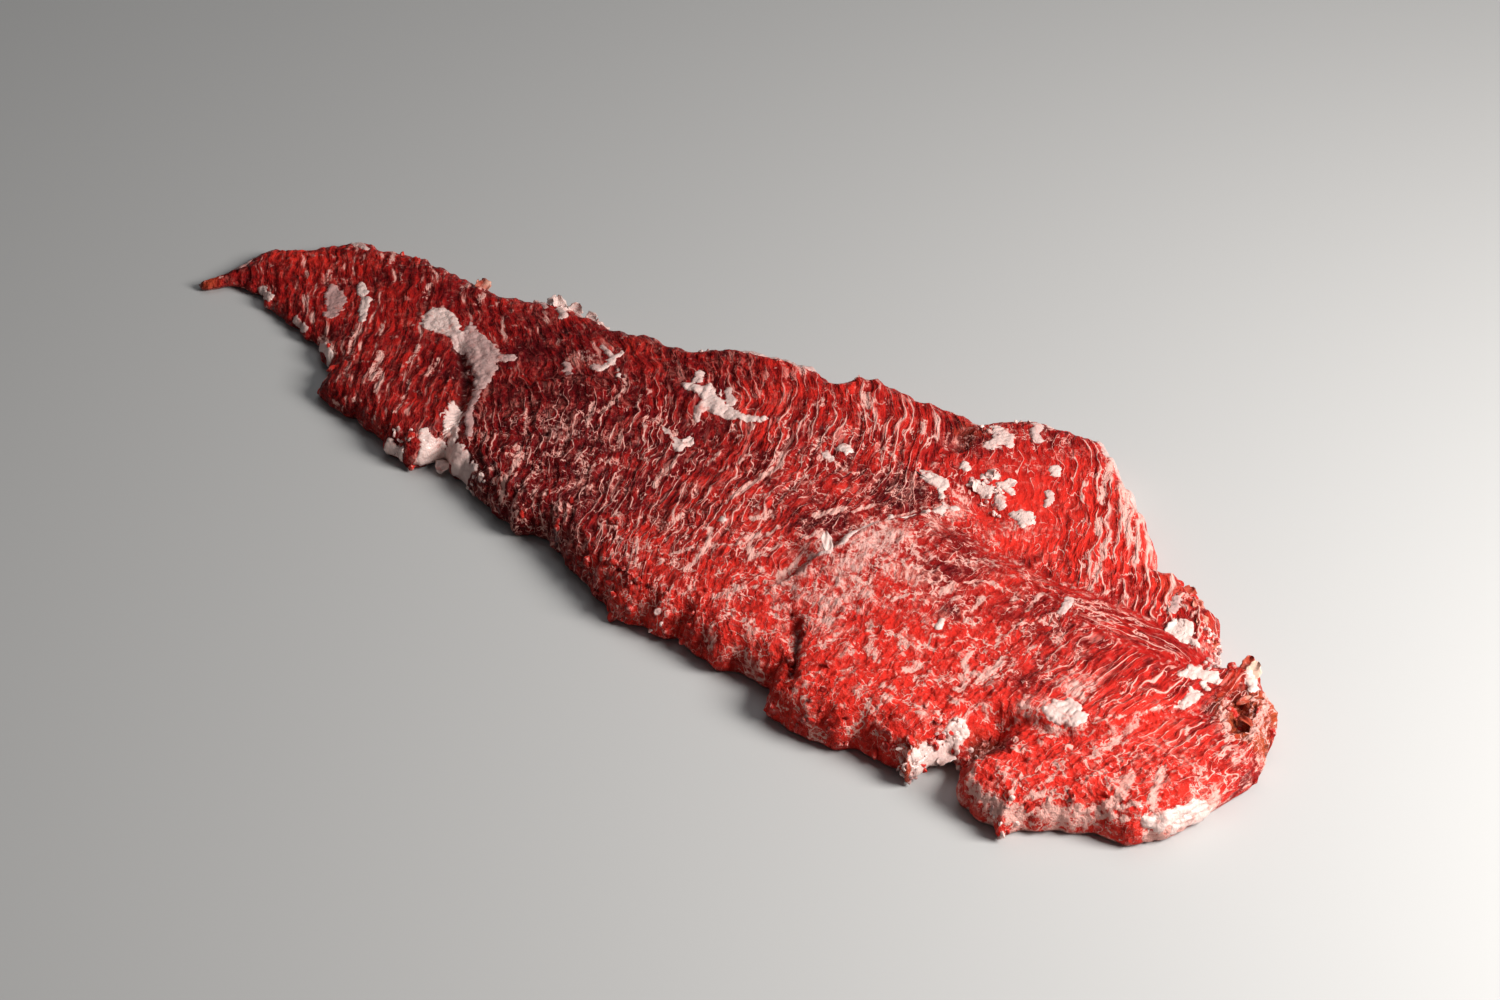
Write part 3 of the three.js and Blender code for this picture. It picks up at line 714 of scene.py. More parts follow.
boldVeins = [
    ([(-176, 33), (-170, 26), (-167, 22)], 0.9, 0.8),
    ([(-159, 36), (-155, 30), (-150, 27)], 0.8, 0.7),
    ([(-146, 19), (-142, 12)], 1.2, 0.8),
    ([(-160, 19), (-155, 14)], 0.6, 0.6),
    ([(-183, 6), (-181, 2)], 1.2, 0.7),
    ([(-189, 29), (-187, 25)], 1.8, 0.6),
    ([(-131, -24), (-128, -28), (-126, -34), (-123, -38)], 1.1, 1.0),
    ([(-124, -32), (-119, -37), (-117, -42)], 0.9, 0.9),
    ([(-123, -13), (-120, -18), (-119, -23)], 0.9, 0.8),
    ([(-112, -15), (-110, -21), (-108, -25)], 1.0, 0.8),
    ([(-112, -31), (-108, -36), (-106, -41)], 0.8, 0.8),
    ([(-105, -43), (-104, -47)], 0.7, 0.8),
    ([(-144, -9), (-139, -15)], 0.9, 0.7),
    ([(-150, -18), (-144, -26), (-137, -34), (-134, -40)], 0.8, 0.7),
    ([(-160, -25), (-154, -27), (-148, -31)], 1.2, 0.8),
    ([(-132, 33), (-126, 26), (-123, 20)], 1.5, 0.7),
    ([(-137, 33), (-134, 26)], 1.3, 0.6),
    ([(-106, 40), (-100, 38), (-94, 36)], 1.6, 0.8),
    ([(-51, 15), (-46, 9), (-44, -2), (-44, -8)], 0.9, 0.9),
    ([(-39, 9), (-36, 2)], 0.7, 0.8),
    ([(-49, -5), (-42, -17)], 0.9, 0.9),
    ([(-32, -11), (-28, -17), (-26, -22)], 0.8, 0.8),
    ([(-66, -21), (-61, -27), (-56, -34)], 0.8, 0.7),
    ([(-54, -39), (-49, -47), (-48, -55), (-46, -59)], 1.0, 1.0),
    ([(-41, -49), (-39, -57)], 0.6, 0.8),
    ([(-31, -54), (-28, -50), (-22, -56)], 0.6, 0.7),
    ([(-8, -19), (-4, -28)], 0.8, 0.8),
    ([(2, 2), (3, -8)], 0.8, 0.8),
    ([(11, 3), (9, -8)], 0.8, 0.8),
    ([(19, 12), (23, 6), (21, -5), (20, -17)], 1.2, 1.0),
    ([(34, -15), (35, -19), (32, -22)], 1.1, 1.0),
    ([(42, -20), (41, -25), (38, -29)], 0.9, 1.0),
    ([(38, -27), (37, -31), (41, -35), (44, -38)], 1.1, 1.0),
    ([(48, -8), (51, -4), (53, 1)], 1.2, 1.0),
    ([(54, -14), (52, -19)], 0.9, 0.9),
    ([(24, -34), (28, -41), (30, -49), (31, -57)], 1.0, 1.0),
    ([(28, -41), (35, -36)], 0.7, 0.8),
    ([(44, -39), (45, -32), (48, -28)], 0.8, 0.9),
    ([(55, -27), (57, -34)], 0.9, 0.9),
    ([(48, -57), (54, -49)], 0.9, 0.9),
    ([(5, -49), (11, -57)], 0.6, 0.7),
    ([(23, 56), (28, 50)], 1.8, 0.9),
    ([(18, 66), (21, 59)], 1.8, 0.6),
    ([(-15, 56), (-9, 52)], 1.5, 0.5),
    ([(-5, 56), (-1, 53)], 1.8, 0.8),
    ([(49, 55), (52, 49)], 0.9, 0.9),
    ([(59, 55), (62, 49)], 1.0, 0.8),
    ([(11, 49), (16, 41)], 0.8, 0.8),
    ([(44, 35), (54, 32)], 0.8, 0.8),
    ([(106, 90), (110, 80), (114, 70), (117, 62), (121, 55)], 1.2, 1.0),
    ([(112, 84), (118, 74), (126, 62), (132, 52), (138, 44)], 1.3, 1.0),
    ([(120, 74), (130, 62), (138, 56), (142, 50)], 1.1, 1.0),
    ([(125, 47), (129, 39)], 1.2, 1.0),
    ([(133, 39), (134, 32), (137, 29)], 1.0, 0.9),
    ([(137, 27), (140, 19), (141, 14)], 1.2, 0.9),
    ([(147, 24), (148, 20), (145, 13)], 0.8, 0.8),
    ([(140, 46), (144, 39), (146, 35)], 1.0, 0.9),
    ([(166, 36), (168, 29), (167, 24)], 1.0, 0.7),
    ([(175, 28), (174, 22)], 0.8, 0.7),
    ([(137, -31), (137, -36), (136, -40), (137, -44)], 1.3, 1.0),
    ([(127, -34), (128, -40), (131, -42), (135, -41)], 1.1, 1.0),
    ([(128, -20), (131, -24), (132, -27)], 0.8, 0.9),
    ([(131, -17), (134, -14), (137, -13)], 0.6, 0.8),
    ([(131, 2), (131, -4), (131, -8)], 0.8, 0.9),
    ([(109, -10), (112, -6), (116, -4)], 0.8, 0.9),
    ([(117, -12), (117, -20)], 1.0, 0.9),
    ([(141, -24), (142, -20)], 0.8, 0.8),
    ([(104, -18), (103, -25)], 0.8, 0.7),
    ([(133, -50), (133, -45)], 1.4, 0.9),
    ([(103, -52), (106, -56)], 1.3, 0.8),
    ([(111, -66), (116, -63), (119, -64)], 1.2, 0.8),
    ([(94, -44), (99, -48), (101, -54)], 1.3, 0.8),
    ([(118, -48), (115, -54)], 1.2, 0.8),
    ([(12, -33), (12, -42)], 0.9, 0.9),
    ([(-6, -14), (-7, -22), (-5, -28)], 1.0, 0.9),
    ([(22, -60), (22, -52), (26, -45)], 0.9, 0.9),
    ([(36, -58), (38, -64), (35, -66)], 1.5, 0.7),
    ([(50, -52), (48, -58), (46, -62)], 1.4, 0.8),
    ([(13, -56), (11, -62)], 1.0, 0.8),
    ([(46, -39), (53, -42), (55, -46)], 0.8, 0.8),
    ([(57, -36), (56, -39), (58, -42)], 1.5, 1.0),
    ([(141, -53), (141, -59), (138, -65)], 1.2, 0.7),
    ([(154, -20), (160, -27), (165, -34)], 1.2, 0.6),
    ([(186, -31), (184, -39), (183, -46)], 1.0, 0.9),
    ([(180, -34), (176, -38)], 0.7, 0.8),
    ([(202, -42), (204, -49), (206, -55), (209, -58)], 1.3, 1.0),
    ([(196, -49), (197, -55), (198, -59), (194, -64)], 1.2, 0.9),
    ([(218, -36), (217, -46), (213, -54), (208, -60)], 1.3, 1.0),
    ([(203, -63), (194, -65), (187, -68)], 0.6, 0.9),
    ([(176, -60), (177, -66), (175, -72)], 0.8, 0.8),
    ([(172, -82), (168, -81), (163, -81), (157, -79)], 1.3, 1.0),
    ([(172, -81), (175, -77), (180, -73), (186, -70), (191, -67)], 1.1, 1.0),
    ([(174, -75), (177, -72), (180, -69)], 1.0, 0.9),
    ([(169, -73), (171, -79)], 0.8, 0.9),
    ([(163, -67), (165, -73)], 0.7, 0.8),
    ([(183, -66), (187, -69)], 0.9, 0.9),
    ([(192, -65), (199, -62), (204, -58)], 0.9, 0.9),
    ([(196, -52), (197, -62)], 1.4, 1.0),
    ([(160, -50), (166, -48), (171, -45), (175, -42)], 1.2, 0.7),
    ([(209, 10), (213, 3), (215, -6), (216, -15)], 1.2, 0.9),
    ([(219, 0), (221, -10), (221, -19)], 0.8, 0.7),
    ([(190, -21), (185, -29), (179, -37), (172, -43)], 0.7, 0.7),
    ([(60, 8), (58, 4), (57, 1)], 0.9, 0.9),
    ([(57, -2), (61, -7)], 0.5, 0.7),
    ([(55, -14), (57, -18)], 1.2, 0.9),
    ([(73, 14), (71, 10), (68, 6), (69, 2)], 0.7, 0.9),
    ([(78, 34), (83, 29), (88, 25)], 0.9, 0.8),
    ([(80, 26), (84, 24), (90, 25)], 0.7, 0.7),
    ([(84, 21), (86, 16), (90, 11)], 1.2, 0.6),
    ([(84, -5), (88, -8), (93, -12)], 0.9, 0.9),
    ([(107, -14), (106, -20)], 1.4, 0.8),
    ([(104, 2), (108, 5), (112, 8)], 0.8, 0.7),
    ([(70, -13), (72, -20), (73, -26)], 0.8, 0.7),
    ([(84, -28), (88, -33)], 0.8, 0.8),
    ([(98, -27), (95, -33)], 0.8, 0.8),
    ([(203, -5), (205, -12), (209, -15), (212, -20)], 1.2, 0.8),
    ([(199, -22), (202, -27)], 0.8, 0.8),
]


def veinsAt(x, y, middle=1.4, lost=0.7):
    # the strength in the middle of a vein and what is lost over each half width, held between 0 and 1
    strength = np.zeros(x.shape)
    for path, half, white in boldVeins:
        away, _, _ = besidePath(x, y, path)
        strength = np.maximum(strength, white * np.clip(middle - lost * away / half, 0, 1))
    return strength


# Surface fat, and how white it is: 1 is chalk white, 0 a grey film. Patches are outlines

fatPatches = [
    ([(-134, 3), (-134, 9), (-130, 10), (-124, 8), (-119, 4), (-115, 2), (-115, 0), (-119, 0),
      (-124, 0), (-129, -2), (-132, -1)], 0.75),
    ([(-117, 9), (-112, 6), (-109, 5), (-103, 4), (-99, 1), (-95, -2), (-92, -7), (-90, -12),
      (-88, -19), (-90, -20), (-93, -16), (-98, -12), (-103, -8), (-108, -5), (-112, -1), (-115, 4)], 0.3),
    ([(-91, -31), (-89, -31), (-84, -37), (-81, -41), (-79, -44), (-82, -44), (-86, -41), (-89, -36)], 0.8),
    ([(-79, -46), (-74, -48), (-70, -49), (-63, -53), (-68, -55), (-72, -53), (-76, -51), (-80, -49)], 0.55),
    ([(-89, -49), (-86, -49), (-82, -47), (-81, -50), (-83, -54), (-86, -56), (-85, -53), (-88, -52)], 0.7),
    ([(-177, 0), (-173, -1), (-168, -3), (-164, -9), (-163, -15), (-166, -15), (-169, -11), (-173, -8)], 0.1),
    ([(-62, 16), (-61, 12), (-64, 12)], 0.3),
    ([(-32, 23), (-27, 24), (-24, 26), (-21, 27), (-20, 24), (-17, 23), (-12, 22), (-8, 21), (-5, 20),
      (1, 22), (4, 23), (4, 22), (0, 20), (-6, 18), (-10, 17), (-14, 17), (-18, 16), (-20, 19),
      (-23, 22), (-28, 22)], 0.95),
    ([(-15, -3), (-9, -2), (-10, -8)], 0.95),
    ([(63, 31), (66, 31.5), (70, 32), (73, 33), (74.5, 31.5), (75, 29), (72, 28.5), (68, 29.5)], 1.0),
    ([(75, 12.5), (76, 14.5), (78.5, 15), (78.5, 13)], 0.8),
    ([(79.5, 16), (80, 19), (82, 19), (82, 17)], 0.8),
    ([(81, 42.5), (83, 45), (85.5, 46), (85.5, 43.5), (83, 42.5)], 1.0),
    ([(87.5, 42.5), (89, 43.5), (92.5, 43), (94, 41), (91, 41), (88.5, 41.5)], 1.0),
    ([(81, 36.5), (81.5, 38.5), (84, 37), (87, 39), (89, 37.5), (87, 34.5), (84, 36)], 1.0),
    ([(91.5, 36), (92, 37), (94, 35), (96, 32), (94, 33.5)], 0.6),
    ([(100.5, 34.5), (106, 35), (108, 32), (106.5, 29), (103, 30.5), (100.5, 31.5)], 0.85),
    ([(70, 67), (75, 68), (79, 65), (80, 62), (76, 61), (75, 56), (73, 57), (74, 62), (71, 65)], 0.6),
    ([(62, -21), (64, -22), (65.5, -25), (64, -27), (62, -25)], 0.9),
    ([(171, 17), (173, 19), (176, 19), (178.5, 16), (179, 13), (177, 11), (173, 13)], 0.95),
    ([(186, 1), (188, 2), (191, 3), (194, 4), (196, 2.5), (196.5, 0.5), (194, -0.5), (190, -1),
      (187.5, -3), (185.5, -4.5), (185, -3), (186.5, -0.5)], 1.0),
    ([(192.5, -8), (194.5, -8), (195.5, -10), (195, -14), (193.5, -17), (192, -18), (192, -16),
      (193, -12)], 1.0),
    ([(161, -39), (164, -36), (168, -36), (172, -39), (173, -42), (170, -45), (165, -46), (161, -44)], 0.85),
    ([(141, -60), (143, -61), (142, -68), (140, -73), (139, -78), (136, -80), (136, -75), (138, -70)], 0.7),
    ([(200, 16), (203, 13), (206, 9), (207, 5), (206, 4), (204, 7), (202, 11), (199, 14)], 0.75),
]

# Thinner fat: a path, its half width, and how white it is
fatStrokes = [
    ([(-220, 6), (-218, 0), (-216, -9)], 2.0, 0.15),
    ([(-200, -14), (-192, -17)], 0.6, 0.6),
    ([(-176, -21), (-168, -24)], 0.5, 0.4),
    ([(-158, -27), (-152, -30), (-149, -32)], 0.8, 0.7),
    ([(-189, 26), (-183, 25)], 1.2, 0.5),
    ([(-168, 6), (-163, 2)], 1.2, 0.8),
    ([(-160, 0), (-156, -6)], 1.4, 1.0),
    ([(-156, -6), (-152, -11)], 0.8, 0.7),
    ([(-119, 1), (-110, -3)], 2.0, 0.5),
    ([(-98, -3), (-91, 0)], 1.6, 0.3),
    ([(-88, -22), (-83, -32), (-74, -42)], 0.9, 0.0),
    ([(-99, -57), (-93, -58)], 1.0, 0.9),
    ([(-98, 37), (-92, 31)], 1.2, 0.6),
    ([(-106, 36), (-101, 32)], 0.6, 0.3),
    ([(-91, 39), (-85, 39), (-79, 38)], 0.8, 0.5),
    ([(-68, 23.5), (-64, 22), (-61, 21)], 0.4, 0.4),
    ([(-60, 25), (-60.5, 21), (-60, 17), (-60.5, 12)], 0.6, 0.8),
    ([(-60, 19), (-56, 17), (-52, 13)], 0.2, 0.7),
    ([(-73, 9), (-70, 7), (-68, 5)], 0.8, 0.2),
    ([(-81, -45), (-77, -47.5), (-74, -49)], 0.3, 1.0),
    ([(-30, 31), (-28, 27)], 1.1, 0.6),
    ([(-19, 16), (-16, 11)], 0.8, 0.5),
    ([(-16, 29), (-11, 24)], 0.9, 0.5),
    ([(-22, 0), (-14, -3)], 0.5, 0.5),
    ([(-27, 52), (-14, 57), (-2, 58)], 1.4, 0.4),
    ([(35, 26), (37, 26)], 1.5, 1.0),
    ([(32, 20), (35, 19)], 1.0, 0.7),
    ([(23, -27), (25, -29)], 0.3, 0.9),
    ([(74, 28), (77, 24), (80, 21.5), (85, 21.5)], 0.3, 0.8),
    ([(76, 10), (75, 7), (73, 4)], 0.1, 0.9),
    ([(72, 2), (70, -1)], 0.0, 0.9),
    ([(69, -3), (67, -6), (66, -8)], 0.2, 0.9),
    ([(66, -9), (66.5, -12), (66, -16), (66.5, -20)], 0.5, 1.0),
    ([(70, 5), (68, 7), (70, 9)], 0.1, 0.7),
    ([(73, 44), (75, 42)], 1.0, 0.8),
    ([(80, 85), (84, 82)], 1.0, 0.7),
    ([(69, 75), (72, 79), (75, 83)], 0.9, 0.6),
    ([(81, 79), (83, 73), (86, 70)], 1.2, 0.5),
    ([(98, 62), (100, 59)], 1.1, 0.8),
    ([(103, 50), (106, 47), (106, 43)], 0.8, 0.5),
    ([(100, 86), (112, 78), (120, 74), (128, 65)], 0.8, 0.5),
    ([(180, 13), (185, 12)], 0.3, 0.7),
    ([(166, 27), (168, 22)], 1.0, 0.3),
    ([(193, -3), (195.5, -4)], 0.4, 1.0),
    ([(140, 4), (141, -3)], 1.0, 0.5),
    ([(217, -41), (215, -47), (212, -54), (207, -60)], 0.7, 0.8),
    ([(113, -29), (113, -33)], 0.4, 0.7),
]


def fatFieldAt(x, y, softness=2.2, strokeGain=1.7):
    # 0 on a patch's border, 1 well inside, down to -1 away from it; with the patch's whiteness
    field, tone = np.full(x.shape, -1.0), np.zeros(x.shape)
    shapes = [(outline + outline[:1], 0, white, outline) for outline, white in fatPatches]
    shapes += [(path, half, white, None) for path, half, white in fatStrokes]
    for path, half, white, outline in shapes:
        away, _, _ = besidePath(x, y, path)
        if outline:
            here = np.where(insidePatch(x, y, outline), away, -away) / softness
        else:
            here = (half - away) / softness * strokeGain
        here = np.clip(here, -1, 1)
        tone = np.where(here > field, white, tone)
        field = np.maximum(field, here)
    return field, tone


# Crumbs of fat and meat scattered where the surface is torn: (along, across, radius, share)

crumbSpots = {
    "fat": [
        (86, 42, 4, 1.0), (90, 36, 5, 1.0), (83, 37, 3, 0.8), (94, 31, 2.5, 0.8), (-104, 38, 3, 1.0),
        (-92, 39.5, 6, 0.7), (-80, 39, 5, 0.6), (188, 12, 4, 1.0), (192, 8, 3, 0.8), (184, 20, 4, 0.6),
        (141, -66, 5, 0.7), (146, -68, 4, 0.5), (134, -80, 4, 0.4), (-96, -56, 5, 0.5), (-62, -55, 5, 0.4),
        (34, -75, 3, 0.3), (170, -82, 6, 0.25), (70, 66, 4, 0.5), (82, 72, 4, 0.5), (74, 80, 5, 0.5),
        (12, 66, 3, 0.4), (-40, 44, 4, 0.3),
    ],
    "meat": [
        (20, -75, 26, 0.5), (100, -84, 20, 0.6), (128, -80, 12, 0.7), (-20, -63, 20, 0.4), (190, 16, 8, 1.0),
        (196, 12, 6, 0.8), (-148, -36, 14, 0.5), (-90, -56, 12, 0.5), (180, -76, 14, 0.4), (140, -66, 8, 0.8),
        (-213, 8, 7, 0.7), (-160, 34, 20, 0.25), (-222, -23, 3, 1.0), (160, 40, 10, 0.5), (210, -2, 8, 0.5),
    ],
}

crumbs = {
    "fat": {"Density": 300000.0, "Size": 0.001, "Seed": 4},
    "meat": {"Density": 30000.0, "Size": 0.0016, "Seed": 9},
}


def crumbShareAt(x, y, spots, least=0.12):
    share = np.zeros(x.shape)
    for sx, sy, radius, value in spots:
        share = np.maximum(share, value * np.exp(-(((x - sx) ** 2 + (y - sy) ** 2) / radius**2)))
    return np.where(share < least, 0, share)


# Building the steak

topFrom = 1.2  # a point at least this high belongs to the upper side
muscleGap = 37.0  # keeps the noise of one muscle apart from that of the next


def steakSurface(form=steakForm):
    xs = mixed(tailTip[0], wideTip[0], crowded(form["stations"]))
    near, far = edgeAt(nearEdge, -1, xs), edgeAt(farEdge, 1, xs)
    inner = slice(1, -1)
    width = (far - near)[inner, None]
    topShares = crowded(form["topColumns"])[None, :]
    inset = np.minimum(form["widestInset"], form["baseInset"] / width)
    flat = np.linspace(0, 1, form["baseColumns"])
    baseShares = np.concatenate([1 - inset / 3, 1 - inset + (2 * inset - 1) * flat[None, :], inset / 3], 1)
    shares = np.concatenate([np.broadcast_to(topShares, (len(width), topShares.size)), baseShares], 1)
    y = near[inner, None] + width * shares
    x = np.broadcast_to(xs[inner, None], y.shape)
    column = np.arange(y.shape[1])
    onRim = np.isin(column, (0, topShares.size - 1))
    depth = np.where(onRim, 0, depthInside(xs[inner], y, near[inner], far[inner]))
    top, creaseShade = topHeight(x, y, depth)
    base = rimAt(x, y) * (1 - rounded(depth, form["baseRound"]))
    z = np.where(column < topShares.size, top, base) * thinnedAt(x)
    shift = -(near.min() + far.max()) / 2
    tips = [(*tip, rimAt(*tip) * thinnedAt(tip[0])) for tip in (tailTip, wideTip)]
    points = np.concatenate([np.stack([x, y, z], -1).reshape(-1, 3), np.array(tips)])
    return points, y.shape, np.append(creaseShade.ravel(), [0, 0]), shift


def ringQuads(rows, around):
    # the faces between each ring of points and the next
    i, j = np.meshgrid(np.arange(rows - 1) * around, np.arange(around), indexing="ij")
    following = (j + 1) % around
    return np.stack([i + j, i + around + j, i + around + following, i + following], -1).reshape(-1, 4)


def steakFaces(rows, around):
    ring, last = np.arange(around), (rows - 1) * around
    nextRing = (ring + 1) % around
    tailFan = np.stack([np.full(around, rows * around), ring, nextRing], -1)
    wideFan = np.stack([np.full(around, rows * around + 1), last + nextRing, last + ring], -1)
    return ringQuads(rows, around).tolist() + tailFan.tolist() + wideFan.tolist()


def plainMesh(name, points, faces):
    mesh = bpy.data.meshes.new(name)
    mesh.from_pydata(points.tolist(), [], faces)
    mesh.polygons.foreach_set("use_smooth", np.ones(len(faces), bool))
    return mesh


def storeVectors(mesh, name, *columns):
    layer = mesh.attributes.new(name, "FLOAT_VECTOR", "POINT")
    layer.data.foreach_set("vector", np.stack(columns, -1).astype(np.float32).ravel())


def readVectors(data, key):
    values = np.zeros(len(data) * 3, np.float32)
    data.foreach_get(key, values)
    return values.reshape(-1, 3)


def makeSteakMesh():
    points, (rows, around), creaseShade, shift = steakSurface()
    x, y, z = points.T
    mesh = plainMesh("steak_flesh", (points + (0, shift, 0)) * millimetre, steakFaces(rows, around))
    index = muscleAt(x, y)
    across, along = fibreCoordinates(x, y, index)
    field, tone = fatFieldAt(x, y)
    looks = {name: lookAt(x, y, name) for name in lookSpots}
    crumbShares = [crumbShareAt(x, y, crumbSpots[kind]) * (z > topFrom) for kind in ("fat", "meat")]
    storeVectors(mesh, "place", x, y, z)
    storeVectors(mesh, "fibres", across, along, muscleGap * index + z)
    storeVectors(mesh, "marbling", looks["streak"], looks["web"], looks["fleck"])
    storeVectors(mesh, "colourAndShade", looks["veil"], looks["deepAndShade"], looks["vivid"])
    storeVectors(mesh, "hollows", creaseShade, nearJoint(x, y, index), looks["rough"])
    storeVectors(mesh, "surfaceFat", field, tone, looks["brown"])
    storeVectors(mesh, "drawn", *crumbShares, veinsAt(x, y))
    mesh.update()
    return mesh


# Patterns shared by the relief and the materials

fatEdge = {
    "tearSize": 3.0,
    "tearing": 3.8,
    "whiteHolds": 1.2,  # white fat tears less
    "spread": 0.25,
    "lowRim": (0.8, 3.6),  # heights over which it comes up from the underside
    "lowLoss": 1.4,
    "sharpness": (-0.35, 0.3),
}


def fatShape(bench, e=fatEdge):
    # how much of a point is covered by surface fat, with torn edges
    field, tone, brown = bench.attribute("surfaceFat")
    _, _, height = bench.attribute("place")
    ragged = bench.noise(bench.stored("place"), e["tearSize"], detail=5.0, roughness=0.6)
    edge = field + e["spread"] + (ragged - 0.5) * (e["tearing"] - tone * e["whiteHolds"])
    edge = edge - (1 - height.step(*e["lowRim"])) * e["lowLoss"]
    return edge.step(*e["sharpness"]), tone, brown, ragged


class Fibres:
    # noise drawn out along the fibres, which wander a little from side to side
    def __init__(self, bench, wander=4.5, size=11.0):
        u, v, w = bench.attribute("fibres")
        bend = bench.noise(bench.vector(u / size, v / size, w / size), 1.0, detail=1.0)
        self.bench, self.u, self.v, self.w = bench, u + (bend - 0.5) * wander, v, w

    def noise(self, across, along, shift=0.0, detail=2.0, roughness=0.5):
        spot = self.bench.vector(self.u / across, self.v / along, self.w / across + shift)
        return self.bench.noise(spot, 1.0, detail, roughness)


# Marbling: gaps and sizes in millimetres, sways in gaps, and widths as shares of a noise's range
marbling = {
    "lineGap": 3.7,
    "lineSway": 5.2,
    "fineGap": 2.4,
    "fineSway": 3.0,
    "webSize": 5.2,
    "webWidth": 0.075,
    "twigWidth": 0.045,
    "crackSize": 12.0,
    "crackWidth": 0.03,
    "grainSize": 1.5,
    "minceSize": 2.8,
    "fillingSize": 7.5,
}


def marblingShape(bench, m=marbling):
    # every pattern of fat and lean, and of painted shade in gaps, pits and hollows, each 0 to 1; the lines
    # follow the fibres, the webs and grains don't
    streak, web, fleck = bench.attribute("marbling")
    _, joint, _ = bench.attribute("hollows")
    apart = 1 - joint
    x, y, _ = bench.attribute("place")
    place = bench.stored("place")
    lively = x.step(-115, -60) * (x * 0.6 - y * 0.8).step(-80, -10)  # 0 on the tail
    fibres = Fibres(bench)
    bundles = fibres.noise(3.4, 24.0)
    bend = fibres.noise(7.0, 16.0, 3.0) - 0.5
    bold = streak.step(0.68, 0.9)
    calm = streak.step(0.55, 0.85).most(1 - lively)
    crest = (fibres.u / m["lineGap"] + bend * (m["lineSway"] - streak * 3.0) * (1 - calm * 0.55)).wave()
    present = fibres.noise(4.2, 17.0, 9.0)
    grit = fibres.noise(1.5, 5.0, 31.0, detail=3.0, roughness=0.62)
    bandWidth = streak * streak * 0.42 + streak * 0.15 + bold * 0.34 + 0.07
    breaks = (grit * 2.8 - 0.55).most(0.0) * (1 - calm * 0.5) + calm * 0.45
    lineWidth = (present + streak * 0.14 + bold * 0.05).step(0.53, 0.7) * bandWidth * breaks + 0.005
    lines = (1 - (crest / lineWidth).step(0.1, 1.3)) * apart * (lively * 0.7 + 0.3)
    fineCrest = (fibres.u / m["fineGap"] + fibres.noise(3.2, 9.0, 13.0) * m["fineSway"]).wave()
    fineWidth = fibres.noise(2.6, 9.0, 19.0, detail=1.0).step(0.5, 0.7) * streak * 0.45 + 0.01
    fineLines = (1 - (fineCrest / fineWidth).step(0.1, 1.4)) * apart * streak.step(0.1, 0.4)
    veins = fibres.noise(2.2, 13.0, 17.0, detail=3.0) + (present - 0.5) * 0.3
    cores = (veins.step(0.61, 0.67) * streak).most(veins.step(0.56, 0.7) * (1 - lively)) * apart
    threads = fibres.noise(0.5, 6.0, 53.0, detail=3.0, roughness=0.65)
    twig = fibres.noise(3.6, 9.0, 23.0, detail=3.0)
    branching = fibres.noise(7.0, 14.0, 43.0, detail=1.0).step(0.46, 0.7)
    twigWidth = branching * m["twigWidth"] * (streak * 0.7 + 0.3) + 0.001
    twigs = (1 - (abs(twig - 0.5) / twigWidth).step(0.1, 1.3)) * apart * streak.step(0.1, 0.4) * lively
    between = crest.step(0.5, 1.0) * present.step(0.35, 0.6)
    # gaps: where the bundles and grit sink, painted as shade
    gaps = (1 - bundles + (0.5 - grit) * 0.9 + between * 0.14).step(0.5, 0.68) * (1 - lines)
    gaps = gaps * streak.step(0.05, 0.4) * apart
    ridge = bench.noise(bench.warped(place, 6.0, 5.0), m["webSize"], detail=3.0, roughness=0.55)
    filling = bench.noise(place, m["fillingSize"])
    webWidth = filling.step(0.44, 0.66) * m["webWidth"] * web + 0.001
    webs = (1 - (abs(ridge - 0.5) / webWidth).step(0.1, 1.4)) * web.step(0.1, 0.4)
    grains = bench.noise(place, m["grainSize"], detail=4.0, roughness=0.65)
    # pits are the sunk grains, painted as shade
    flecks, pitShade = grains.step(0.54, 0.66) * fleck, (1 - grains).step(0.54, 0.68) * fleck
    mince = bench.noise(place, m["minceSize"], detail=5.0, roughness=0.6)
    clots = (mince + (filling - 0.5) * 0.3).step(0.57, 0.68) * web
    # hollows are where the mince sinks, painted as shade
    hollowShade = (1 - mince).step(0.53, 0.66) * web
    blotches = (filling + (grains - 0.5) * 0.9 + (mince - 0.5) * 0.5).step(0.56, 0.72) * web
    chunks = bench.noise(bench.warped(place, 8.0, 6.0), m["crackSize"], detail=4.0, roughness=0.55)
    splits = 1 - (abs(chunks - 0.5) / m["crackWidth"]).step(0.1, 1.3)
    cracks = splits * (1 - filling).step(0.46, 0.6) * web.step(0.3, 0.8)
    return {"bundles": bundles, "crest": crest, "lines": lines, "fineLines": fineLines, "cores": cores,
            "ridge": ridge, "webs": webs, "flecks": flecks, "pitShade": pitShade, "grains": grains, "gaps": gaps,
            "threads": threads, "mince": mince, "clots": clots, "hollowShade": hollowShade, "grit": grit,
            "twigs": twigs, "cracks": cracks, "blotches": blotches, "calm": calm}


# Relief of the surface, by Geometry Nodes

relief = {
    "Bundle height": 0.0044, "Crest height": 0.0011, "Grit height": 0.0023, "Mince height": 0.0036,
    "Lump height": 0.0036, "Nick height": 0.0014, "Crack depth": 0.0013,
}


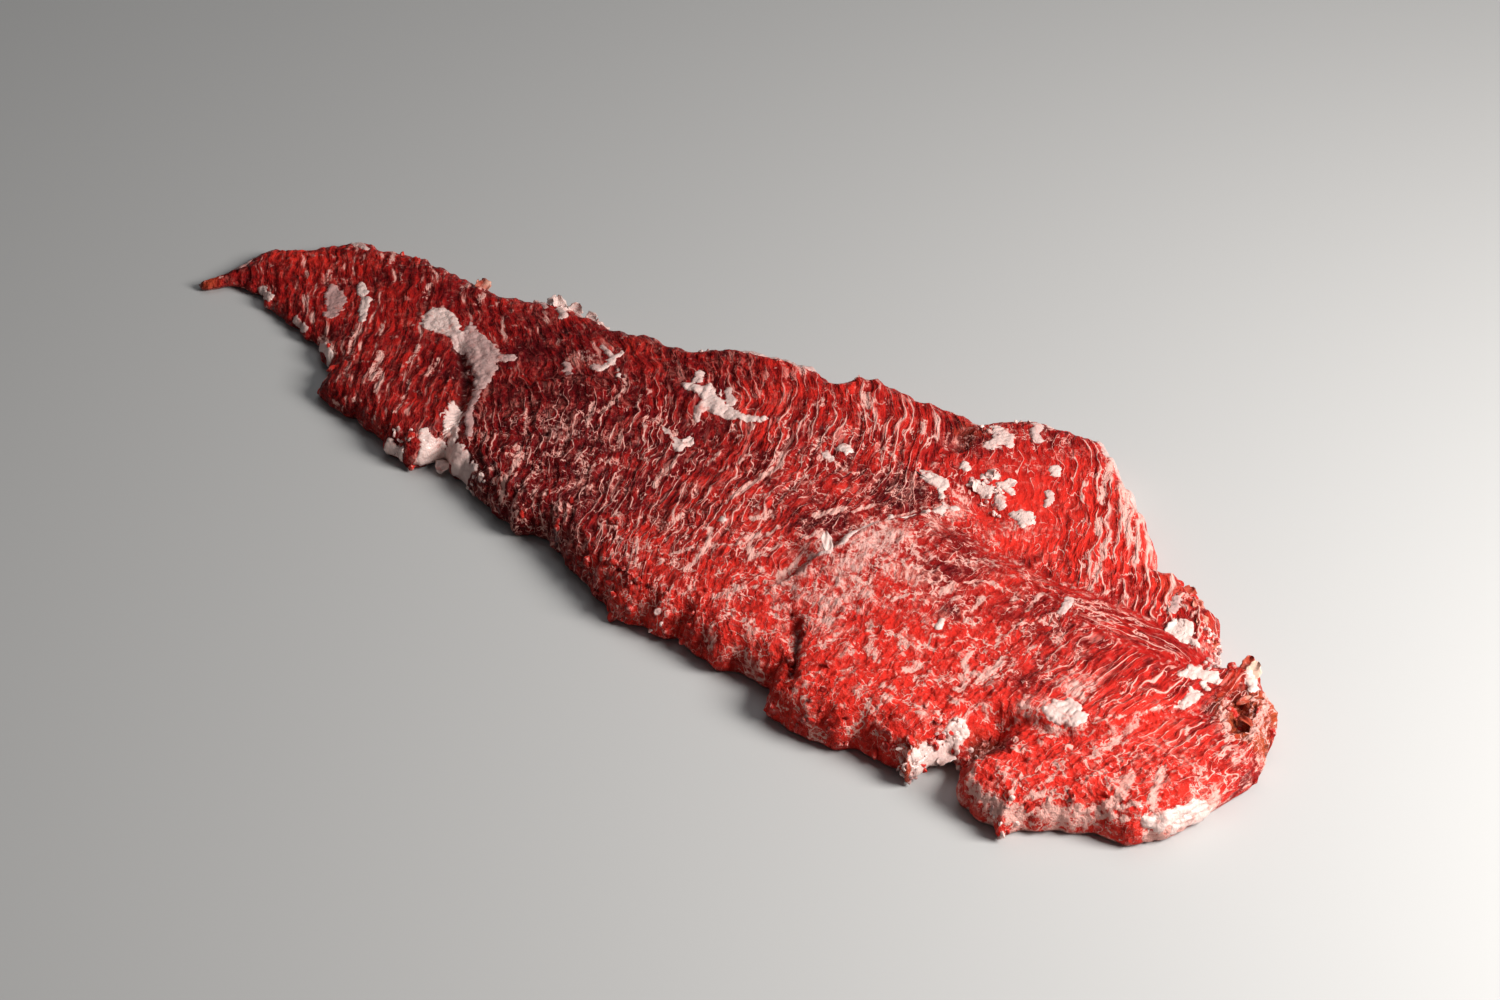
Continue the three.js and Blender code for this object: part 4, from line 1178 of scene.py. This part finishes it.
def makeReliefTree(material):
    growth = Growth("meat_relief", relief)
    size, marks = growth.size, marblingShape(growth)
    streak, web, fleck = growth.attribute("marbling")
    _, joint, rough = growth.attribute("hollows")
    _, _, height = growth.attribute("place")
    lumps = growth.noise(growth.stored("place"), 6.0, roughness=0.55)
    rise = (marks["bundles"] - 0.5) * size["Bundle height"]
    rise = rise + ((1 - marks["crest"]).step(0.0, 0.9) - 0.4) * size["Crest height"]
    rise = rise + (marks["grit"] - 0.5) * size["Grit height"]
    rise = rise * (streak * 0.85 + 0.15) * (1 - joint) * (1 - marks["calm"] * 0.3)
    rise = rise + (marks["grains"] - 0.5) * (fleck * 0.7 + 0.3) * size["Nick height"]
    rise = rise + (marks["mince"] - 0.5) * web.most(joint) * size["Mince height"]
    rise = rise + (lumps - 0.5) * (fleck * 0.8 + 0.3) * size["Lump height"]
    rise = rise - marks["cracks"] * size["Crack depth"]
    rise = rise * rough * height.step(0.3, 2.6)
    moved = growth.moved(growth.source, growth.node("GeometryNodeInputNormal"), rise)
    return growth.dressed(moved, material)


fatSheets = {
    "Thickness": 0.0006, "Rim": 0.00005, "Sunk share": 0.4, "Margin": -0.9, "Least cover": 0.03,
    "Fewest faces": 14.0, "Weld": 0.000001,
}


def makeFatTree(material, cornerPasses=4):
    # torn sheets that grow out of the flesh where a patch is: a sunk base, walls and a swollen top
    growth = Growth("fat_sheets", fatSheets)
    size = growth.size
    field, _, _ = growth.attribute("surfaceFat")
    near = growth.without(growth.source, field.under(size["Margin"]))
    dense = growth.node("GeometryNodeSubdivideMesh", inputs={"Mesh": near, "Level": 1})
    fat, tone, _, _ = fatShape(growth)
    sheet = growth.without(dense, fat.under(size["Least cover"]))
    for _ in range(cornerPasses):  # faces that meet only at a corner would leave the sheet open there
        touch = growth.node("GeometryNodeFieldOnDomain", {"domain": "POINT", "data_type": "FLOAT"}, {
            "Value": growth.spareEdges().step(1.0, 2.0)})
        sheet = growth.without(sheet, touch.over(0.1))
    faces = growth.node("GeometryNodeAccumulateField", {"data_type": "FLOAT", "domain": "FACE"}, {
        "Value": 1.0, "Group ID": growth.node("GeometryNodeInputMeshIsland")}, out="Total")
    sheet = growth.without(sheet, faces.under(size["Fewest faces"]))
    neighbours = growth.node("GeometryNodeInputMeshEdgeNeighbors")
    onBorder = growth.node("GeometryNodeFieldOnDomain", {"domain": "EDGE", "data_type": "BOOLEAN"}, {
        "Value": neighbours.under(1.5)})
    normal = growth.node("GeometryNodeInputNormal")
    swell = growth.noise(growth.stored("place"), 3.5, detail=1.0)
    body = fat * (0.8 + (swell - 0.45) * 0.8 + tone * 0.3)
    lift = growth.node("GeometryNodeSwitch", {"input_type": "FLOAT"}, {
        "Switch": onBorder, "True": 0.0, "False": body * size["Thickness"]}) + size["Rim"]
    base = growth.moved(sheet, normal, 0 - size["Sunk share"] * size["Thickness"])
    top = growth.node("GeometryNodeExtrudeMesh", {"mode": "FACES"}, {
        "Mesh": base, "Offset": growth.scaled(normal, lift), "Individual": False})
    under = growth.node("GeometryNodeFlipFaces", inputs={"Mesh": base})
    both = growth.node("GeometryNodeJoinGeometry")
    for half in (top, under):
        growth.tree.links.new(half.socket, both.socket.node.inputs[0])
    closed = growth.node("GeometryNodeMergeByDistance", inputs={"Geometry": both, "Distance": size["Weld"]})
    return growth.dressed(closed, material)


crumbSpread = {"smallest": (0.4, 0.4, 0.25), "largest": (1.6, 1.3, 0.8), "roughness": 1.5}


def makeCrumbTree(material, column, values, spread=crumbSpread):
    # lumps of random size sunk in the surface, as dense as a column of the drawn shares says
    growth = Growth("crumbs", values)
    size, seed = growth.size["Size"], growth.size["Seed"]
    share = growth.attribute("drawn")[column]
    points = growth.node("GeometryNodeDistributePointsOnFaces", {"distribute_method": "RANDOM"}, {
        "Mesh": growth.source, "Density": share * growth.size["Density"], "Seed": seed})
    lump = growth.node("GeometryNodeMeshIcoSphere", inputs={"Radius": 1.0, "Subdivisions": 2})
    turn = growth.node("FunctionNodeRandomValue", {"data_type": "FLOAT_VECTOR"}, {
        "Min": (0, 0, 0), "Max": (6.28, 6.28, 6.28), "Seed": seed + 1})
    scale = growth.node("FunctionNodeRandomValue", {"data_type": "FLOAT_VECTOR"}, {
        "Min": spread["smallest"], "Max": spread["largest"], "Seed": seed + 2})
    placed = growth.node("GeometryNodeInstanceOnPoints", inputs={
        "Points": points, "Instance": lump, "Rotation": turn, "Scale": growth.scaled(scale, size)})
    whole = growth.node("GeometryNodeRealizeInstances", inputs={"Geometry": placed})
    spot = growth.scaled(growth.node("GeometryNodeInputPosition"), 1 / millimetre)
    rough = growth.noise(spot, 1.6, detail=3.0, roughness=0.6) - 0.5
    shaped = growth.moved(whole, growth.node("GeometryNodeInputNormal"), rough * size * spread["roughness"])
    tone = growth.noise(spot, 4.0, detail=1.0).step(0.3, 0.6)
    perPoint = {"data_type": "FLOAT_VECTOR", "domain": "POINT"}
    for name, value in (("place", spot), ("surfaceFat", growth.vector(1.0, tone, 0.0))):
        shaped = growth.node("GeometryNodeStoreNamedAttribute", perPoint, {
            "Geometry": shaped, "Name": name, "Value": value})
    return growth.dressed(shaped, material)


def grownFrom(mesh, tree, values, name):
    # runs a tree on a mesh and returns the result as a plain object
    carrier = addObject("carrier", mesh)
    modifier = carrier.modifiers.new("growth", "NODES")
    modifier.node_group = tree
    for item in tree.interface.items_tree:
        if item.in_out == "INPUT" and item.name in values:
            modifier[item.identifier] = values[item.name]
    graph = bpy.context.evaluated_depsgraph_get()
    plain = bpy.data.meshes.new_from_object(
        carrier.evaluated_get(graph), preserve_all_data_layers=True, depsgraph=graph)
    bpy.data.objects.remove(carrier)
    plain.name = name
    return addObject(name, plain)


# Materials


def newMaterial(name):
    material = bpy.data.materials.new(name)
    material.use_nodes = True
    return material, material.node_tree.nodes["Principled BSDF"], Bench(material.node_tree)


def finishSurface(bench, shader, colour, unevenness, height, look):
    bench.feed(shader.inputs["Base Color"], colour)
    bench.feed(shader.inputs["Roughness"], look["roughness"] + (unevenness - 0.5) * look["unevenness"])
    inputs = {"Strength": look["bumpStrength"], "Distance": look["bumpDepth"], "Height": height}
    bench.feed(shader.inputs["Normal"], bench.node("ShaderNodeBump", inputs=inputs))


meatLook = {
    # darker lean, also used for painted shade in pits, hollows and at the foot of the side wall
    "deepAndShade": (0.085, 0.0035, 0.006),
    "middle": (0.34, 0.008, 0.008),
    "vivid": (0.80, 0.032, 0.020),
    # painted shade in the gaps between fibre bundles and in cracks
    "gapShade": (0.05, 0.002, 0.003),
    # the brown of dried meat, also painted as brown shade in the flap's notch wall and the wide end's crease
    "driedAndShade": (0.50, 0.085, 0.032),
    "pinkFat": (0.74, 0.13, 0.10),
    "paleFat": (0.90, 0.51, 0.44),
    "hazed": (0.80, 0.23, 0.18),
    "filmed": (0.90, 0.52, 0.46),
    # painted shade in the creases of the folds
    "creaseShade": (0.03, 0.002, 0.003),
    "fatLines": {"webs": (0.55, 0.9), "twigs": (0.55, 0.85), "lines": (0.5, 0.95), "cores": (0.4, 0.75)},
    "roughness": 0.36,
    "unevenness": 0.3,
    "wetSize": 3.5,
    "wetShare": (0.55, 0.66),
    "wetness": 0.55,
    "bumpStrength": 1.0,
    "bumpDepth": 0.0015,
}


def makeMeat(look=meatLook):
    material, shader, bench = newMaterial("raw_beef")
    marks = marblingShape(bench)
    grains, threads, grit = marks["grains"] - 0.5, marks["threads"] - 0.5, marks["grit"] - 0.5
    fat, _, brown, ragged = fatShape(bench)
    streak, web, fleck = bench.attribute("marbling")
    veil, deepAndShade, vivid = bench.attribute("colourAndShade")
    creaseShade, joint, rough = bench.attribute("hollows")
    _, _, drawn = bench.attribute("drawn")
    _, _, height = bench.attribute("place")
    place = bench.stored("place")
    clouds = bench.noise(place, 14.0, detail=3.0)
    fibred = (streak * 0.8 + 0.2) * (1 - joint)
    # random tone; its thread and grit parts also give a brighter red on the raised grains and a darker one in
    # the sunk ones, partly painted light and shade on the relief
    tint = (threads * 0.8 + grit * 1.7) * fibred + (clouds - 0.5) * 0.9
    layers = [
        ((vivid + tint * 0.8).step(0.1, 1.0), "vivid"),
        # darker lean, and painted shade where the deep spots sit in recesses
        ((deepAndShade - tint * 0.9).step(0.2, 1.0), "deepAndShade"),
        # dried brown, and painted brown shade in the flap's notch wall and the wide end's crease
        ((brown + tint * 0.4).step(0.2, 0.9), "driedAndShade"),
        # painted shade in the gaps between fibre bundles, where the relief sinks
        (marks["gaps"] * (deepAndShade * 0.6 + 0.3), "gapShade"),
        # painted shade in the pits and hollows of the relief
        ((marks["pitShade"] + marks["hollowShade"]) * 0.18, "deepAndShade"),
        # painted shade in the cracks
        (marks["cracks"] * 0.3, "gapShade"),
        (marks["flecks"] * 0.34, "pinkFat"),
        (marks["blotches"] * 0.42, "hazed"),
        (marks["clots"] * 0.7, "pinkFat"),
        (marks["clots"] * marks["clots"] * 0.8, "paleFat"),
        (marks["fineLines"] * 0.2, "pinkFat"),
    ]
    for name, (halo, core) in look["fatLines"].items():  # a line of fat is pink at its sides and pale inside
        line = marks[name]
        layers += [(line * halo, "pinkFat"), (line * line * line * core, "paleFat")]
    torn = grit * 2.4 + grains * 1.6 + threads * 0.6
    vein = (drawn * 1.2 - 0.3 + torn).step(0.2, 0.8) * drawn.step(0.1, 0.4)
    # the pale haze and film stay off the low side wall, which keeps its painted shade
    clearOfFootShade = height.step(1.0, 3.4)
    drift = bench.noise(place, 8.0, detail=3.0, roughness=0.6) - 0.5
    haze = (veil * 1.4 + drift * 3.8 + grains * 1.2 + threads * 0.8 - 0.5).step(0.0, 1.0)
    wisps = (1 - abs(marks["ridge"] - 0.5).step(0.0, 0.08)) * 0.4 + grains * 1.6
    film = (veil * 1.5 + drift * 2.4 + wisps + threads * 2.2 - 0.85).step(0.05, 0.95)
    layers += [
        (marks["mince"].step(0.54, 0.66) * joint * 0.6, "paleFat"),
        (vein * 0.6, "pinkFat"),
        (vein * vein * 0.85, "paleFat"),
        (haze * clearOfFootShade * 0.6, "hazed"),
        (film * clearOfFootShade * 0.85, "filmed"),
        # painted shade at the foot of the side wall
        ((1 - height.step(0.2, 2.6)) * 0.4, "deepAndShade"),
        # painted shade in the creases of the folds
        (creaseShade * creaseShade * 0.9, "creaseShade"),
        (fat * 0.6, "paleFat"),
    ]
    bumps = marks["threads"] * 0.6 + marks["bundles"] * 0.8 - marks["crest"] * 0.5 + marks["grit"] * 2.2
    bumps = bumps * fibred + marks["grains"] * (fleck * 0.6 + 0.4) + marks["mince"] * joint
    bumps = (bumps + marks["mince"] * web * 0.8) * (rough + 0.2)
    finishSurface(bench, shader, bench.layered(look["middle"], layers, look), ragged, bumps, look)
    wet = bench.noise(place, look["wetSize"], detail=3.0, roughness=0.6).step(*look["wetShare"])
    bench.feed(shader.inputs["Coat Weight"], wet * look["wetness"])
    shader.inputs["Specular IOR Level"].default_value = 0.05
    shader.inputs["Coat Roughness"].default_value = 0.1
    shader.inputs["Subsurface Weight"].default_value = 0.04
    shader.inputs["Subsurface Radius"].default_value = (1.0, 0.3, 0.2)
    shader.inputs["Subsurface Scale"].default_value = 0.002
    return material


fatLook = {
    "grey": (0.50, 0.28, 0.26),
    "white": (0.84, 0.60, 0.545),
    "stained": (0.66, 0.19, 0.15),
    "roughness": 0.42,
    "unevenness": 0.3,
    "bumpStrength": 0.8,
    "bumpDepth": 0.0008,
}


def makeFat(look=fatLook):
    material, shader, bench = newMaterial("beef_fat")
    fat, tone, _, ragged = fatShape(bench)
    place = bench.stored("place")
    flaky = bench.noise(place, 1.3, detail=4.0, roughness=0.6)
    stains = bench.noise(place, 5.0, detail=3.0)
    layers = [
        ((tone + (ragged - 0.5) * 0.8).step(0.1, 0.8), "white"),
        ((stains + (flaky - 0.5) * 0.6 - fat * 0.12).step(0.46, 0.66) * 0.7, "stained"),
    ]
    finishSurface(bench, shader, bench.layered(look["grey"], layers, look), flaky, flaky, look)
    shader.inputs["Coat Weight"].default_value = 0.2
    shader.inputs["Subsurface Weight"].default_value = 0.1
    shader.inputs["Subsurface Radius"].default_value = (1.0, 0.5, 0.4)
    shader.inputs["Subsurface Scale"].default_value = 0.0015
    return material


crumbLook = {
    "dark": (0.26, 0.010, 0.008),
    "red": (0.62, 0.03, 0.02),
    "pale": (0.82, 0.36, 0.31),
    "orange": (0.50, 0.10, 0.05),
    "cream": (0.88, 0.58, 0.45),
    "roughness": 0.4,
    "unevenness": 0.3,
    "bumpStrength": 0.8,
    "bumpDepth": 0.0008,
}


def makeCrumbMeat(look=crumbLook):
    material, shader, bench = newMaterial("raw_crumb")
    _, tone, dry = bench.attribute("surfaceFat")
    place = bench.stored("place")
    flaky = bench.noise(place, 1.6, detail=4.0, roughness=0.6)
    clouds = bench.noise(place, 5.0)
    layers = [
        (clouds.step(0.35, 0.6), "red"),
        (flaky.step(0.52, 0.66) * 0.8, "pale"),
        (dry * (clouds * 2 - 0.4), "orange"),
        ((tone * 1.6 + clouds - 1).step(0.0, 0.4) * dry, "cream"),
    ]
    finishSurface(bench, shader, bench.layered(look["dark"], layers, look), flaky, flaky, look)
    shader.inputs["Specular IOR Level"].default_value = 0.1
    shader.inputs["Coat Weight"].default_value = 0.15
    return material


meat, whiteFat, redCrumb = makeMeat(), makeFat(), makeCrumbMeat()
print("meat and fat materials made")

steakMesh = makeSteakMesh()
print("steak surface made:", len(steakMesh.vertices), "points")
steak = grownFrom(steakMesh, makeReliefTree(meat), relief, "steak_flesh")
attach(steak, "root")
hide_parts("steak")
print("steak relief grown")

fat = grownFrom(steak.data, makeFatTree(whiteFat), fatSheets, "surface_fat")
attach(fat, "root")
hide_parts("steak")
print("surface fat grown:", len(fat.data.polygons), "faces")


def addCrumbs(kind, column, material, name):
    values = crumbs[kind]
    piece = grownFrom(steak.data, makeCrumbTree(material, column, values), values, name)
    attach(piece, "root")
    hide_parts("steak")
    print(name, "scattered:", len(piece.data.polygons), "faces")


addCrumbs("fat", 0, whiteFat, "fat_crumbs")
addCrumbs("meat", 1, redCrumb, "meat_crumbs")


# Flakes of fat and meat that stand off the surface by one end. Each is a strip given as
# (root, heading from +X, lift, length, width, bend over its length, cup, whiteness)

flakes = {
    "fat": [
        ((174, 12), 105, 18, 7.0, 7.0, -24, 1.3, 1.0),
        ((73, 31), 178, 14, 12.0, 3.6, -22, 0.9, 1.0),
        ((66, -26), 135, 24, 9.0, 3.6, -20, 0.6, 0.9),
        ((104, 30), 70, 20, 6.0, 6.0, -30, 1.0, 0.9),
        ((83, 43), 60, 30, 5.0, 4.0, 30, 0.8, 1.0),
        ((90, 42), 60, 35, 5.0, 4.0, -50, 0.8, 1.0),
        ((85, 36), 160, 30, 5.0, 4.0, 30, 0.8, 1.0),
        ((88, 36), 60, 28, 5.0, 3.0, -30, 0.6, 1.0),
        ((94, 33), 20, 30, 4.0, 2.6, -40, 0.5, 0.7),
        ((-126, 6), 150, 12, 8.0, 5.0, -20, 0.8, 0.8),
        ((-16, 20), 120, 16, 9.0, 6.0, -24, 1.0, 1.0),
        ((-10, -4), 100, 20, 5.0, 4.0, -24, 0.5, 0.9),
        ((-61, 14), 85, 12, 8.0, 2.2, -20, 0.4, 0.8),
        ((-97, 36), 150, 34, 6.0, 5.0, -10, 1.6, 0.7),
        ((-92, 37), 95, 30, 5.0, 6.0, 20, 1.2, 0.7),
        ((-102, 36), 100, 30, 5.0, 4.4, -20, 1.4, 0.6),
        ((-86, 38), 60, 20, 4.0, 6.0, 10, 1.0, 0.5),
        ((-86, -38), 200, 25, 5.0, 5.0, 40, 0.8, 0.9),
        ((-80, -48), 285, 16, 6.0, 6.0, -50, 0.8, 0.8),
        ((190, -1), 170, 12, 6.0, 4.0, -20, 0.8, 1.0),
        ((143, -67), 250, 10, 6.0, 5.0, -50, 0.8, 0.7),
    ],
    "meat": [
        ((200, 14), 110, 30, 6.0, 5.0, 20, 1.2, 0.1),
        ((203, 12), 100, 28, 6.0, 5.0, 20, 1.0, 1.0),
        ((215, -9), 170, 18, 7.0, 2.6, -45, 0.9, 0.0),
        ((209, 3), 240, 14, 7.0, 3.0, -35, 0.8, 0.3),
        ((206, -3), 290, 14, 6.0, 2.6, -40, 0.6, 0.2),
        ((180, 22), 170, 22, 4.0, 5.0, 0, 1.0, 0.4),
        ((186, 16), 120, 18, 4.0, 4.0, 10, 1.0, 0.3),
        ((166, 35), 100, 18, 4.0, 5.0, 0, 1.0, 0.2),
        ((174, 29), 165, 22, 4.0, 4.0, 10, 1.0, 0.4),
        ((-130, 31), 150, 26, 5.0, 6.0, -20, 1.4, 0.4),
    ],
}

flakeForm = {
    "rows": 14,
    "columns": 10,
    "thickness": {"fat": 0.15, "meat": 0.3},  # share of the half width
    "thinning": 0.9,
    "sunk": 1.2,  # how far the root goes into the flesh
    "tips": (0.16, 0.96, 0.6),  # where the rounded ends are cut off, and how full they are
    "edgeWave": 0.09,
    "edgeTurns": (17, 7),
    "ripple": 0.25,
    "rippleTurns": (5, 9),
}


def flakeMesh(kind, flake, anchor, form=flakeForm):
    # a closed strip with rounded ends, given around its root in metres
    _, heading, lift, length, width, curl, cup, _ = flake
    rows, columns = form["rows"], form["columns"]
    s = np.linspace(0, 1, rows + 1)
    bend = np.radians(lift + curl * s)
    step = length / rows
    run = np.concatenate([[0], np.cumsum(np.cos(bend[:-1]) * step)])
    rise = np.concatenate([[0], np.cumsum(np.sin(bend[:-1]) * step)]) - form["sunk"]
    quick, slow = form["edgeTurns"]
    ragged = 1 + form["edgeWave"] * (np.sin(s * quick + heading) + np.sin(s * slow + length))
    first, last, fullness = form["tips"]
    half = width / 2 * np.sin(np.pi * mixed(first, last, s)) ** fullness * ragged
    t = np.linspace(-1, 1, columns + 1)
    down = s[:, None]
    across = half[:, None] * t
    acrossTurns, downTurns = form["rippleTurns"]
    bow = cup * t**2 + form["ripple"] * np.sin(t * acrossTurns + down * downTurns + heading)
    roundness = np.sqrt(np.maximum(1 - t**2, 0)) * np.sqrt(1 - form["thinning"] * down**2)
    swell = form["thickness"][kind] * width / 2 * roundness
    layers = []
    for side in (1, -1):
        up = bow + side * swell
        layers.append(np.stack([run[:, None] - np.sin(bend)[:, None] * up, across,
                                rise[:, None] + np.cos(bend)[:, None] * up], -1))
    loops = np.concatenate([layers[0], layers[1][:, -2:0:-1]], 1)
    turn = radians(heading)
    x = loops[..., 0] * cos(turn) - loops[..., 1] * sin(turn)
    y = loops[..., 0] * sin(turn) + loops[..., 1] * cos(turn)
    points = np.stack([x, y, loops[..., 2]], -1).reshape(-1, 3) * millimetre + anchor
    around = loops.shape[1]
    rootEnd, freeEnd = list(range(around)), list(range(rows * around, (rows + 1) * around))[::-1]
    return points, ringQuads(rows + 1, around).tolist() + [rootEnd, freeEnd]


def addFlakes(kind, material, name):
    spots = readVectors(steak.data.attributes["place"].data, "vector")
    corners = readVectors(steak.data.vertices, "co")
    onTop = np.flatnonzero(spots[:, 2] > topFrom)
    points, faces, tones = [], [], []
    for flake in flakes[kind]:
        away = np.hypot(*(spots[onTop, :2] - flake[0]).T)
        made, sides = flakeMesh(kind, flake, corners[onTop[away.argmin()]])
        start = sum(map(len, points))
        points.append(made)
        faces += [[start + corner for corner in side] for side in sides]
        tones += [flake[-1]] * len(made)
    points = np.concatenate(points)
    mesh = plainMesh(name, points, faces)
    storeVectors(mesh, "surfaceFat", np.ones(len(tones)), np.array(tones), np.ones(len(tones)))
    storeVectors(mesh, "place", *(points.T / millimetre))
    mesh.materials.append(material)
    mesh.update()
    piece = addObject(name, mesh)
    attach(piece, "root")
    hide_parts("steak")
    print(name, "made:", len(flakes[kind]), "flakes")


addFlakes("fat", whiteFat, "fat_flakes")
addFlakes("meat", redCrumb, "meat_flakes")


floorLook = {"size": 3.0, "colour": (0.52, 0.52, 0.515, 1.0), "roughness": 0.7}


def makeFloor(look=floorLook):
    half = look["size"] / 2
    corners = [(-half, -half, 0), (half, -half, 0), (half, half, 0), (-half, half, 0)]
    mesh = bpy.data.meshes.new("floor")
    mesh.from_pydata(corners, [], [(0, 1, 2, 3)])
    material, shader, _ = newMaterial("pale_floor")
    shader.inputs["Base Color"].default_value = look["colour"]
    shader.inputs["Roughness"].default_value = look["roughness"]
    mesh.materials.append(material)
    floor = addObject("floor", mesh)


makeFloor()
print("floor made")
